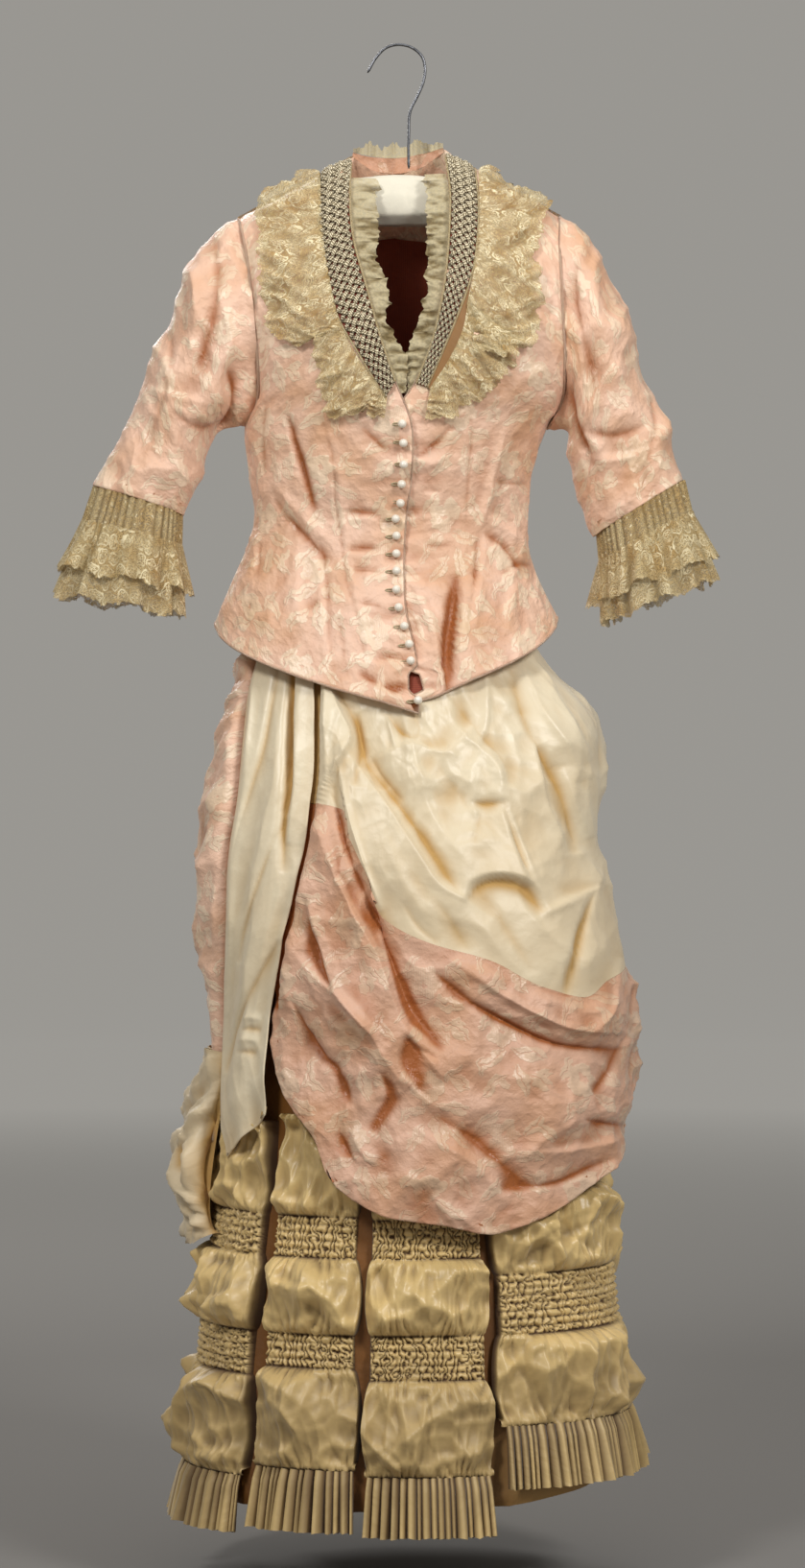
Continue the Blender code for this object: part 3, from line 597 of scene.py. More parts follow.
def tubes_mesh(name, grids):
    """One mesh of several closed tubes with capped ends; its UV holds each tube's length and turn."""
    points, faces, uv = [], [], []
    count = 0
    for grid in grids:
        rows, sides = grid.shape[:2]
        index = np.arange(rows * sides).reshape(rows, sides) + count
        index = np.concatenate([index, index[:, :1]], 1)
        quads = np.stack([index[:-1, :-1], index[:-1, 1:], index[1:, 1:], index[1:, :-1]], -1)
        faces += quads.reshape(-1, 4).tolist()
        faces += [index[0, -2::-1].tolist(), index[-1, :-1].tolist()]
        run = arc_lengths(grid[..., :3], 0)[:, 0] * MM
        turn = np.linspace(0, 1, sides + 1)
        place = np.stack(np.broadcast_arrays(turn[None, :], run[:, None]), -1)
        corner = np.stack([place[:-1, :-1], place[:-1, 1:], place[1:, 1:], place[1:, :-1]], 2)
        uv += [corner.reshape(-1, 2), np.zeros((sides, 2)), np.zeros((sides, 2)) + (0, run[-1])]
        points.append(grid.reshape(-1, grid.shape[-1]))
        count += rows * sides
    points = np.concatenate(points)
    mesh = bpy.data.meshes.new(name)
    mesh.from_pydata((points[:, :3] * MM).tolist(), [], faces)
    if points.shape[1] > 3:
        mesh.attributes.new("shade", "FLOAT", "POINT").data.foreach_set("value", points[:, 3].copy())
    mesh.uv_layers.new(name="Cloth").data.foreach_set("uv", np.concatenate(uv).ravel())
    mesh.shade_smooth()
    return mesh


# ---------------------------------------------------------------- finishes


def linear(code):
    """A linear colour from an sRGB hex value."""
    part = np.array([int(code[i : i + 2], 16) for i in (1, 3, 5)]) / 255
    value = np.where(part <= 0.04045, part / 12.92, ((part + 0.055) / 1.055) ** 2.4)
    return (*value.tolist(), 1.0)


def colour_choice(name, description, code):
    """A colour that a user may change."""
    value = linear(code)
    return FloatVectorProperty(name=name, description=description, subtype="COLOR", size=4, default=value)


def length_choice(name, description, value):
    """A length that a user may change, in metres."""
    return FloatProperty(name=name, description=description, unit="LENGTH", default=value)


class DressColours(PropertyGroup):
    """The colours of the dress's materials."""

    brocade_ground: colour_choice("Brocade ground", "Satin ground of the silk brocade", "#edc4a9")
    brocade_motif: colour_choice("Brocade motif", "Leaves and flowers of the silk brocade", "#f3d8bb")
    # painted shade: the colour that the brocade's fold hollows are mixed toward
    brocade_shade: colour_choice("Brocade hollow", "The brocade deep inside its folds", "#a35c28")
    cream_satin: colour_choice("Cream satin", "Satin of the overskirt", "#e9dabb")
    # painted shade deep inside the satin's folds, and the tint of its aged patches
    cream_age_and_shade: colour_choice("Cream hollow", "The cream satin deep inside its folds", "#bf9756")
    gold_satin: colour_choice("Gold satin", "Satin of the skirt's panels and pleating", "#e0c182")
    # painted shade deep inside the satin's folds, and the tint of its aged patches
    gold_age_and_shade: colour_choice("Gold hollow", "The gold satin deep inside its folds", "#4c2e0b")
    foundation: colour_choice("Foundation", "Brown cotton of the skirt's foundation", "#8f5c24")
    lining: colour_choice("Lining", "Dark lining of the bodice", "#80290f")
    lace: colour_choice("Lace", "Ecru net of the lace", "#d2bb8a")
    lace_thread: colour_choice("Lace thread", "Thicker threads of the lace", "#f2e4bc")
    gauze: colour_choice("Gauze", "Gauze of the neck frills", "#d4c8a8")
    braid: colour_choice("Braid", "Silver-grey cords of the braid", "#f3e6c6")
    pearl: colour_choice("Pearl", "Ball buttons", "#efe6d6")
    pad: colour_choice("Pad", "Cotton cover of the hanger", "#f1e9d4")
    # emission colour of the far floor and the backdrop: a painted glow
    backdrop: colour_choice("Backdrop", "Floor and backdrop", "#bdbab4")


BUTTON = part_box("button_01")


class DressSizes(PropertyGroup):
    """The lengths and counts of the dress's details."""

    fold_strength: FloatProperty(
        name="Fold strength", description="Depth of every placed fold", subtype="FACTOR", default=1, max=1.5
    )
    braid_strands: IntProperty(
        name="Braid strands", description="Strands in the plait", default=6, min=3, max=11
    )
    braid_width: length_choice("Braid width", "Width of the plait", 0.031)
    gather_pitch: length_choice("Gather pitch", "Width of a shirred gather", 0.0054)
    pleat_pitch: length_choice("Pleat pitch", "Visible width of a knife pleat", 0.0072)
    button_radius: length_choice("Button radius", "Radius of a button", (BUTTON[1][2] - BUTTON[0][2]) / 2)


def node(tree, kind, inputs=None, output=0, **settings):
    """Adds a node with its settings, links or sets its inputs, and gives one of its outputs."""
    made = tree.nodes.new(kind)
    for key, value in settings.items():
        setattr(made, key, value)
    for key, value in (inputs or {}).items():
        if isinstance(value, bpy.types.NodeSocket):
            tree.links.new(value, made.inputs[key])
        else:
            made.inputs[key].default_value = value
    return made.outputs[output]


def maths(tree, operation, *values):
    """Arithmetic on up to three values."""
    return node(tree, "ShaderNodeMath", dict(enumerate(values)), operation=operation)


def vectors(tree, operation, *values, output=0):
    """Arithmetic on up to three vectors."""
    return node(tree, "ShaderNodeVectorMath", dict(enumerate(values)), output, operation=operation)


def noise(tree, place, scale, detail, output=0, **more):
    """A noise of that many waves a millimetre, or a metre where the place is in metres."""
    sockets = {"Vector": place, "Scale": scale, "Detail": detail, **more}
    return node(tree, "ShaderNodeTexNoise", sockets, output)


def ranged(tree, value, low, high, first=0.0, last=1.0):
    """The value brought from one range to another, and kept within it."""
    return node(tree, "ShaderNodeMapRange", {"Value": value, 1: low, 2: high, 3: first, 4: last})


def bumped(tree, height, distance, strength):
    """A normal from a height."""
    return node(tree, "ShaderNodeBump", {"Height": height, "Distance": distance, "Strength": strength})


def waves(tree, place, scale, distortion, detail):
    """Diagonal lines of light and dark."""
    sockets = {"Vector": place, "Scale": scale, "Distortion": distortion, "Detail": detail}
    return node(tree, "ShaderNodeTexWave", sockets, 1)


def shade_of(tree):
    """How deep in a fold the surface lies, from 0 to 1, as painted shade; on brown cotton pieces, how far
    they fade toward tan.
    """
    return node(tree, "ShaderNodeAttribute", {}, 2, attribute_name="shade")


def own_place(tree):
    """The place in the object's own metres."""
    return node(tree, "ShaderNodeTexCoord", {}, 3)


def across_and_down(tree, place):
    """The first two parts of a place."""
    split = node(tree, "ShaderNodeSeparateXYZ", {0: place}).node
    return split.outputs[0], split.outputs[1]


def new_finish(name, slot):
    """An empty material for a slot of the record, and its node tree."""
    made = bpy.data.materials.new(name)
    made.use_nodes = True
    made.node_tree.nodes.clear()
    made["slot"] = slot
    return made, made.node_tree


def finished(tree, sockets):
    """Ends a tree with a Principled shader whose sockets are linked or set."""
    shader = node(tree, "ShaderNodeBsdfPrincipled", sockets)
    node_out = tree.nodes.new("ShaderNodeOutputMaterial")
    tree.links.new(shader, node_out.inputs["Surface"])


def cloth_place(tree):
    """The piece's cloth lengths, in millimetres."""
    lengths = node(tree, "ShaderNodeUVMap", uv_map="Cloth")
    return node(tree, "ShaderNodeVectorMath", {0: lengths, "Scale": 1 / MM}, operation="SCALE")


def mixed(tree, share, first, second):
    """A colour between two."""
    return node(tree, "ShaderNodeMix", {"Factor": share, "A": first, "B": second}, 2, data_type="RGBA")


def crinkles(tree, place, scale):
    """Crisp creases in pressed silk: a ridged noise, softened by a plain one."""
    sockets = {"Vector": place, "Scale": scale, "Detail": 3.0, "Lacunarity": 2.1, "Offset": 0.9, "Gain": 1.5}
    ridges = node(tree, "ShaderNodeTexNoise", sockets, noise_type="RIDGED_MULTIFRACTAL")
    soft = noise(tree, place, 2 * scale, 3.0)
    return maths(tree, "MULTIPLY_ADD", ridges, 0.35, soft)


# The brocade's repeat, half dropped, in millimetres
REPEAT = (74.0, 104.0)
LEAVES = (  # stalk x, y, tip x, y, width
    (0, 6, 30, -6, 14),
    (-4, 4, -31, -10, 13),
    (2, -8, 9, -44, 14),
    (15, 34, 35, 14, 12),
    (12, -20, 34, -38, 11),
    (-8, -18, -30, -42, 12),
    (-34, 22, -14, 48, 12),
    (10, 20, 24, 46, 9),
    (-26, 2, -36, -22, 7),
)
FLOWERS = (  # x, y, petal radius, distance of the petals, petals
    (-9, 22, 7.2, 9.5, 5),
    (24, -22, 3.2, 4.2, 5),
    (-14, -30, 2.6, 3.4, 5),
)


def circle_gap(tree, place, centre, radius):
    """How far outside a circle the place lies."""
    away = vectors(tree, "DISTANCE", place, (*centre, 0), output="Value")
    return maths(tree, "SUBTRACT", away, radius)


def least(tree, values, operation="MINIMUM"):
    """The least, or greatest, of several values."""
    found = values[0]
    for value in values[1:]:
        found = maths(tree, operation, found, value)
    return found


def motif_distance(tree, place):
    """How far outside the nearest leaf or petal the place lies, and how far from a leaf's vein. A leaf is
    where two circles through its stalk and tip overlap, and a flower is a ring of circles."""
    gaps, veins = [], []
    for x, y, tip_x, tip_y, width in LEAVES:
        stalk, tip = np.array([x, y], float), np.array([tip_x, tip_y], float)
        chord = np.linalg.norm(tip - stalk) / 2
        radius = (chord**2 + (width / 2) ** 2) / width
        offset = np.array([y - tip_y, tip_x - x]) / (2 * chord) * (radius - width / 2)
        middle = (stalk + tip) / 2
        centres = (middle + offset, middle - offset)
        sides = [circle_gap(tree, place, centre.tolist(), radius) for centre in centres]
        gaps.append(least(tree, sides, "MAXIMUM"))
        apart = maths(tree, "SUBTRACT", sides[0], sides[1])
        apart = maths(tree, "ABSOLUTE", apart)
        inside = maths(tree, "MAXIMUM", gaps[-1], 0.0)
        veins.append(maths(tree, "ADD", apart, inside))
    for x, y, radius, distance, petals in FLOWERS:
        for turn in np.linspace(0, 2 * np.pi, petals, endpoint=False):
            centre = (x + distance * np.cos(turn), y + distance * np.sin(turn))
            gaps.append(circle_gap(tree, place, centre, radius))
    return least(tree, gaps), least(tree, veins)


def half_dropped(tree, place):
    """The place within a repeat, from its middle, where every second column of repeats drops by half."""
    width, height = REPEAT
    across, down = across_and_down(tree, place)
    column = maths(tree, "DIVIDE", across, width)
    column = maths(tree, "FLOOR", column)
    drop = maths(tree, "MULTIPLY_ADD", column, height / 2, down)
    local_x = maths(tree, "WRAP", across, width, 0.0)
    local_y = maths(tree, "WRAP", drop, height, 0.0)
    local = node(tree, "ShaderNodeCombineXYZ", {0: local_x, 1: local_y})
    return vectors(tree, "SUBTRACT", local, (width / 2, height / 2, 0))


def brocade_silk(colours):
    """Silk brocade: a pink satin ground with leaves and flowers floated on it in a paler, glossier weft. Age
    has greyed it in patches and creased it finely, and painted shade darkens the hollows of its folds."""
    made, tree = new_finish("Brocade silk", "pink_brocade")
    place = cloth_place(tree)
    wander = noise(tree, place, 0.045, 2.0, "Color")
    wander = vectors(tree, "SUBTRACT", wander, (0.5, 0.5, 0.5))
    lobes = noise(tree, place, 0.16, 1.0, "Color")
    lobes = vectors(tree, "SUBTRACT", lobes, (0.5, 0.5, 0.5))
    drawn = vectors(tree, "MULTIPLY_ADD", wander, (22, 22, 0), place)
    drawn = vectors(tree, "MULTIPLY_ADD", lobes, (6, 6, 0), drawn)
    gap, vein = motif_distance(tree, half_dropped(tree, drawn))
    motif = ranged(tree, gap, 0.5, -0.4)
    vein = ranged(tree, vein, 0.6, 1.5)
    motif = maths(tree, "MULTIPLY", motif, vein)

    floats = waves(tree, place, 0.14, 1.5, 0.0)
    hatched = noise(tree, place, 0.02, 0.0)
    hatched = ranged(tree, hatched, 0.52, 0.6)
    floats = maths(tree, "MULTIPLY", floats, hatched)
    thin = maths(tree, "MULTIPLY_ADD", floats, -0.45, 1.0)
    motif = maths(tree, "MULTIPLY", motif, thin)

    patches = noise(tree, place, 0.013, 3.0)
    patches = ranged(tree, patches, 0.42, 0.68)
    ground = mixed(tree, patches, colours.brocade_ground, linear("#dcab86"))
    pale = mixed(tree, patches, colours.brocade_motif, linear("#e2c09c"))
    colour = mixed(tree, motif, ground, pale)
    shade = shade_of(tree)
    # painted shade: the hollows of the folds, by the shade attribute
    colour = mixed(tree, shade, colour, colours.brocade_shade)

    creases = crinkles(tree, place, 0.055)
    threads = noise(tree, place, 0.9, 1.0)
    height = maths(tree, "MULTIPLY_ADD", motif, 0.16, creases)
    height = maths(tree, "MULTIPLY_ADD", threads, 0.1, height)
    facing = bumped(tree, height, 0.0022, 0.75)
    rough = maths(tree, "MULTIPLY_ADD", motif, -0.16, 0.5)
    sockets = {"Base Color": colour, "Roughness": rough, "Normal": facing}
    finished(tree, {**sockets, "Sheen Weight": 0.12, "Specular IOR Level": 0.5})
    return made


def satin(name, colour, hollow, creasing, roughness):
    """Silk satin: long warp floats give it a broad soft gloss; age tones it in patches toward the darker
    colour, and painted shade mixes the hollows of its folds toward the same colour.
    """
    made, tree = new_finish(name, "cream_satin")
    place = cloth_place(tree)
    age = noise(tree, place, 0.011, 4.0, Roughness=0.6)
    age = ranged(tree, age, 0.35, 0.75, 0.0, 0.28)
    # random patches of age, toned toward the darker colour
    toned = mixed(tree, age, colour, hollow)
    shade = shade_of(tree)
    # painted shade: the hollows of the folds are mixed toward the darker colour
    toned = mixed(tree, shade, toned, hollow)
    stretched = vectors(tree, "MULTIPLY", place, (1.0, 0.12, 1.0))
    floats = noise(tree, stretched, 0.8, 2.0)
    creases = crinkles(tree, place, 0.03)
    height = maths(tree, "MULTIPLY_ADD", floats, 0.06, creases)
    facing = bumped(tree, height, 0.003, creasing)
    rough = maths(tree, "MULTIPLY_ADD", shade, 0.4, roughness)
    sockets = {"Base Color": toned, "Roughness": rough, "Normal": facing}
    finished(tree, {**sockets, "Sheen Weight": 0.15, "Specular IOR Level": 0.6})
    return made


def cream_satin(colours):
    """The overskirt's cream satin, pressed and handled."""
    return satin("Cream satin", colours.cream_satin, colours.cream_age_and_shade, 0.26, 0.4)


def gold_satin(colours):
    """The skirt's satin, gone gold with age."""
    return satin("Gold satin", colours.gold_satin, colours.gold_age_and_shade, 0.2, 0.37)


def brown_cotton(colours):
    """Glazed brown cotton of the foundation, with a slight weave."""
    made, tree = new_finish("Brown cotton", "brown_cotton")
    place = cloth_place(tree)
    age = noise(tree, place, 0.02, 4.0)
    colour = mixed(tree, age, colours.foundation, linear("#5f3a14"))
    faded = shade_of(tree)
    colour = mixed(tree, faded, colour, linear("#b48c54"))
    creases = noise(tree, place, 0.06, 5.0)
    facing = bumped(tree, creases, 0.003, 0.5)
    finished(tree, {"Base Color": colour, "Roughness": 0.6, "Normal": facing})
    return made


def dark_lining(colours):
    """Polished red-brown lining cotton, cut in a twill with a faint check of light."""
    made, tree = new_finish("Dark lining", "dark_lining")
    place = cloth_place(tree)
    twill = waves(tree, place, 0.16, 2.0, 2.0)
    colour = mixed(tree, twill, colours.lining, linear("#8f3d1a"))
    creases = noise(tree, place, 0.05, 4.0)
    facing = bumped(tree, creases, 0.003, 0.5)
    finished(tree, {"Base Color": colour, "Roughness": 0.65, "Normal": facing})
    return made


def ring_mask(tree, distance, radius, half_width):
    """1 on a ring of that radius and half width, fading over 0.35 mm."""
    gap = maths(tree, "SUBTRACT", distance, radius)
    gap = maths(tree, "ABSOLUTE", gap)
    return ranged(tree, gap, half_width + 0.35, half_width)


def repeated(tree, across, down, pitch, shift, row):
    """Distance from, and offsets to, the nearest of a row of points at that pitch, at the row's height."""
    near = maths(tree, "WRAP", across, shift + pitch / 2, shift - pitch / 2)
    near = maths(tree, "SUBTRACT", near, shift)
    above = maths(tree, "SUBTRACT", down, row)
    offset = node(tree, "ShaderNodeCombineXYZ", {0: near, 1: above})
    return vectors(tree, "LENGTH", offset, output="Value"), near, above


LACE_PITCH = 17.0  # of the ringed flowers
SPOT_PITCH = 8.5


def lace(name, colours, bordered):
    """Machine-made ecru lace: net with ringed flowers or with spots, worn away in places and ragged along its
    free edge. Its UV holds lengths along that edge and in from it."""
    made, tree = new_finish(name, "ecru_lace")
    place = cloth_place(tree)
    pull = noise(tree, place, 0.07, 3.0, "Color")
    pull = vectors(tree, "SUBTRACT", pull, (0.5, 0.5, 0.5))
    place = vectors(tree, "MULTIPLY_ADD", pull, (20, 16, 0), place)
    across, down = across_and_down(tree, place)
    masks = []
    pitch = LACE_PITCH if bordered else SPOT_PITCH
    row = maths(tree, "WRAP", down, 2 * pitch, 0.0)
    for shift, height in ((0.0, pitch / 2), (pitch / 2, 1.5 * pitch)):
        distance, near, above = repeated(tree, across, row, pitch, shift, height)
        if bordered:
            angle = maths(tree, "ARCTAN2", above, near)
            waved = maths(tree, "MULTIPLY", angle, 6.0)
            waved = maths(tree, "COSINE", waved)
            petals = maths(tree, "MULTIPLY_ADD", waved, -1.1, distance)
            masks += [ring_mask(tree, distance, 7.0, 0.8), ring_mask(tree, petals, 3.6, 0.6)]
        masks.append(ranged(tree, distance, 1.5, 1.0))
    thread = least(tree, masks, "MAXIMUM")
    worn = noise(tree, place, 0.05, 3.0)
    worn = ranged(tree, worn, 0.35, 0.6)
    thread = maths(tree, "MULTIPLY", thread, worn)
    cells = node(tree, "ShaderNodeTexVoronoi", {"Vector": place, "Scale": 0.55}, feature="DISTANCE_TO_EDGE")
    net = ranged(tree, cells, 0.18, 0.08, 0.45, 0.95)
    alpha = maths(tree, "MAXIMUM", net, thread)
    torn = noise(tree, place, 0.22, 2.0)
    torn = maths(tree, "MULTIPLY_ADD", torn, -9.0, down)
    torn = ranged(tree, torn, -2.6, -1.8)
    alpha = maths(tree, "MULTIPLY", alpha, torn)
    stain = noise(tree, place, 0.028, 3.0)
    stain = ranged(tree, stain, 0.4, 0.7)
    ground = mixed(tree, stain, colours.lace, linear("#b8955a"))
    colour = mixed(tree, thread, ground, colours.lace_thread)
    shade = shade_of(tree)
    # painted shade: the hollows of the lace's flutes
    colour = mixed(tree, shade, colour, linear("#8d7442"))
    facing = bumped(tree, alpha, 0.0006, 0.8)
    finished(tree, {"Base Color": colour, "Roughness": 0.75, "Alpha": alpha, "Normal": facing})
    return made


def bordered_lace(colours):
    """The lace of the collar and the cuffs' tiers."""
    return lace("Ecru lace", colours, True)


def spotted_net(colours):
    """The gathered net of the cuffs."""
    return lace("Spotted net", colours, False)


def silk_gauze(colours):
    """Limp silk gauze, half clear, denser where it creases."""
    made, tree = new_finish("Silk gauze", "ecru_lace")
    place = cloth_place(tree)
    cloud = noise(tree, place, 0.35, 3.0)
    alpha = ranged(tree, cloud, 0.3, 0.62, 0.6, 0.95)
    colour = mixed(tree, cloud, colours.gauze, linear("#b9a87c"))
    shade = shade_of(tree)
    # painted shade: the hollows of the frills' folds
    colour = mixed(tree, shade, colour, linear("#857249"))
    facing = bumped(tree, cloud, 0.001, 0.5)
    finished(tree, {"Base Color": colour, "Roughness": 0.8, "Alpha": alpha, "Normal": facing})
    return made


TWIST = 2.4  # length of one turn of the braid's cord


def twisted_cord(colours):
    """Two-ply metal-wound silk cord: bright plies with darker grooves of tarnish and painted shade."""
    made, tree = new_finish("Twisted cord", "bead_braid")
    place = cloth_place(tree)
    round_cord, down = across_and_down(tree, place)
    turn = maths(tree, "MULTIPLY", round_cord, MM * 2 * np.pi)
    twist = maths(tree, "MULTIPLY_ADD", down, 2 * np.pi / TWIST, turn)
    ply = maths(tree, "SINE", twist)
    ply = ranged(tree, ply, -0.8, 0.4)
    tarnish = noise(tree, own_place(tree), 90.0, 2.0)
    # the grooves' colour: tarnish, and painted shade in the grooves
    groove_tarnish_and_shade = mixed(tree, tarnish, linear("#6e5c3e"), linear("#94825f"))
    colour = mixed(tree, ply, groove_tarnish_and_shade, colours.braid)
    # painted shade where a strand goes under another
    under = shade_of(tree)
    colour = mixed(tree, under, colour, linear("#4a3d28"))
    facing = bumped(tree, ply, 0.0005, 0.9)
    finished(tree, {"Base Color": colour, "Roughness": 0.42, "Metallic": 0.3, "Normal": facing})
    return made


def pearl(colours):
    """Blown glass pearl: a soft milky body under a clear gloss."""
    made, tree = new_finish("Pearl", "pearl")
    coat = {"Coat Weight": 0.8, "Coat Roughness": 0.08}
    finished(tree, {"Base Color": colours.pearl, "Roughness": 0.28, **coat})
    return made


def drawn_steel(colours):
    """Drawn steel wire, dulled, with fine lines along it."""
    made, tree = new_finish("Drawn steel", "steel_wire")
    lines = noise(tree, own_place(tree), 400.0, 2.0)
    colour = mixed(tree, lines, linear("#55565a"), linear("#8b8c90"))
    rough = ranged(tree, lines, 0.3, 0.7, 0.28, 0.45)
    finished(tree, {"Base Color": colour, "Roughness": rough, "Metallic": 1.0})
    return made


def pad_cotton(colours):
    """White cotton cover of the padded hanger, plain woven and slightly creased."""
    made, tree = new_finish("Pad cotton", "padding_cover")
    place = own_place(tree)
    creases = noise(tree, place, 45.0, 4.0, Distortion=0.6)
    weave = noise(tree, place, 900.0, 1.0)
    height = maths(tree, "MULTIPLY_ADD", weave, 0.12, creases)
    facing = bumped(tree, height, 0.002, 0.5)
    colour = mixed(tree, creases, colours.pad, linear("#d5cfbd"))
    finished(tree, {"Base Color": colour, "Roughness": 0.85, "Normal": facing, "Sheen Weight": 0.1})
    return made


def backdrop_paper(colours):
    """Matt paper, grey under the dress, and glowing softly farther off, where it stands as the backdrop."""
    made, tree = new_finish("Backdrop paper", "pad")
    place = vectors(tree, "MULTIPLY", own_place(tree), (1, 1, 0))
    away = vectors(tree, "LENGTH", place, output="Value")
    far = ranged(tree, away, 1.7, 6.2)
    # painted light: farther off the paper darkens while its glow rises, standing in for the light on the far
    # floor and the backdrop
    colour = mixed(tree, far, linear("#7d7a76"), linear("#3c3b39"))
    glow = mixed(tree, far, (0, 0, 0, 1), colours.backdrop)
    sockets = {"Base Color": colour, "Roughness": 0.9, "Specular IOR Level": 0.2}
    finished(tree, {**sockets, "Emission Color": glow, "Emission Strength": 0.6})
    made.cycles.emission_sampling = "NONE"
    return made


def finish(make):
    """The material that a function makes, made once."""
    known = bpy.context.scene.get("dress_finishes", {})
    if make.__name__ in known:
        return bpy.data.materials[known[make.__name__]]
    made = make(bpy.context.scene.dress_colours)
    bpy.context.scene["dress_finishes"] = {**dict(known), make.__name__: made.name}
    return made


# ---------------------------------------------------------------- folds
# Each fold is its depth, its widths left and right of its path (below and above, where it runs to the right),
# its sharpness, and its path as places across and down. Those of the front lie on the front elevation.

BODICE_RIGHT_FOLDS = (
    (-5, 4, 5, 1.4, 299, 430, 306, 459, 318, 499, 328, 535),
    (-1.6, 1.4, 1.4, 1.2, 334, 430, 349, 490, 351, 530, 356, 564, 361, 605, 371, 640, 378, 672, 383, 712),
    (1.4, 5, 3, 1.3, 340, 432, 354, 490, 357, 530, 361, 564, 367, 605, 377, 640, 384, 672, 389, 712),
    (-1.6, 1.4, 1.4, 1.2, 334, 560, 339, 593, 342, 621, 345, 679, 350, 705),
    (2.0, 5, 2, 1.2, 330, 575, 334, 610, 338, 660, 341, 690),
    (-1.4, 1.4, 1.4, 1.2, 352, 640, 356, 662, 361, 703),
    (-1.4, 2, 2, 1.3, 276, 420, 274, 447, 273, 473, 275, 498),
    (-1.3, 2, 2, 1.2, 272, 560, 270, 577, 268, 603),
    (-2.2, 3, 3, 1.3, 376, 445, 388, 456, 402, 470),
    (-2.4, 3, 4, 1.3, 362, 532, 377, 534, 394, 536),
    (-2.4, 3, 3, 1.3, 358, 574, 375, 571, 396, 571),
    (-2.2, 3, 3, 1.3, 364, 592, 382, 594, 401, 596),
    (-2.2, 3, 3, 1.3, 372, 628, 384, 629, 398, 632),
    (2.0, 4, 3, 1.3, 362, 540, 378, 541, 396, 545),
    (2.0, 4, 3, 1.3, 362, 580, 378, 579, 400, 580),
    (-1.8, 3, 3, 1.3, 320, 635, 331, 627, 344, 620),
    (2.2, 7, 7, 1.6, 306, 560, 309, 590, 311, 640, 322, 672),
    (-2.4, 5, 4, 1.4, 286, 520, 301, 540, 322, 562, 345, 588),
    (2.4, 6, 5, 1.5, 282, 500, 300, 520, 325, 548, 350, 570),
    (-2.6, 4, 4, 1.3, 388, 690, 404, 684, 430, 690),
    (3.4, 8, 3, 1.4, 392, 706, 404, 722, 424, 730, 446, 734),
    (-3.4, 2.5, 6, 1.3, 372, 700, 392, 712, 412, 719, 436, 716),
    (2.6, 4, 4, 1.3, 395, 716, 412, 702, 428, 694),
)
BODICE_LEFT_FOLDS = (
    (-1.4, 1.5, 1.5, 1.2, 490, 425, 492, 455, 488, 500, 485, 545),
    (3.4, 3.5, 5, 1.3, 530, 432, 524, 454, 512, 500, 505, 530, 496, 565),
    (-2.0, 2, 2, 1.2, 500, 545, 498, 564, 495, 597, 488, 660),
    (2.2, 3, 4, 1.3, 505, 548, 504, 580, 500, 612, 494, 660),
    (2.6, 6, 6, 1.4, 507, 540, 533, 557, 557, 593),
    (-2.6, 4, 6, 1.3, 500, 552, 528, 572, 548, 604),
    (-1.8, 3, 3, 1.3, 512, 501, 530, 503, 549, 505),
    (-10, 6, 8, 1.3, 476, 598, 471, 640, 465, 676, 463, 705, 469, 742),
    (6, 8, 8, 1.5, 430, 600, 440, 630, 452, 663, 461, 703, 466, 735),
    (6, 5, 20, 1.3, 484, 600, 482, 640, 478, 676, 480, 712),
    (-2.2, 3, 3, 1.3, 429, 480, 443, 471, 457, 459, 476, 440),
    (-2.2, 3, 3, 1.3, 425, 515, 442, 511, 463, 511),
    (-2.2, 3, 3, 1.3, 440, 568, 456, 570, 475, 565),
    (2.2, 4, 4, 1.3, 432, 492, 450, 484, 468, 468),
    (2.0, 4, 4, 1.3, 430, 545, 448, 548, 470, 541),
    (-2.2, 4, 4, 1.3, 520, 600, 540, 588, 562, 590),
    (2.4, 6, 6, 1.5, 530, 660, 532, 630, 540, 605),
)
SLEEVE_FOLDS = (
    (-7, 4, 7, 1.3, 234, 380, 243, 404, 238, 436, 222, 470),
    (5, 7, 6, 1.5, 196, 262, 206, 300, 203, 352, 188, 398),
    (-4, 6, 6, 1.4, 220, 240, 226, 290, 220, 340, 206, 384),
    (4, 8, 8, 1.6, 236, 300, 238, 340, 226, 392, 206, 436),
    (-3, 5, 5, 1.4, 170, 330, 178, 372, 170, 420, 150, 462),
    (-3.5, 5, 4, 1.3, 176, 424, 196, 440, 216, 446, 234, 440),
    (3.5, 5, 5, 1.4, 150, 404, 176, 412, 204, 418, 228, 412),
    (-7, 7, 4, 1.3, 600, 388, 592, 412, 602, 446, 620, 486),
    (5, 6, 7, 1.5, 624, 250, 618, 300, 626, 352, 640, 402),
    (-4, 6, 6, 1.4, 604, 250, 600, 300, 608, 352, 622, 402),
    (-2.4, 1.8, 1.8, 1.2, 636, 290, 652, 335, 672, 392, 680, 430, 676, 480, 670, 512),
    (2.2, 3, 4, 1.3, 642, 290, 659, 340, 679, 396, 687, 436, 682, 480),
    (-3.5, 4, 5, 1.3, 598, 444, 622, 452, 650, 452, 676, 442),
    (3.5, 5, 5, 1.4, 602, 470, 626, 480, 652, 478, 680, 466),
)
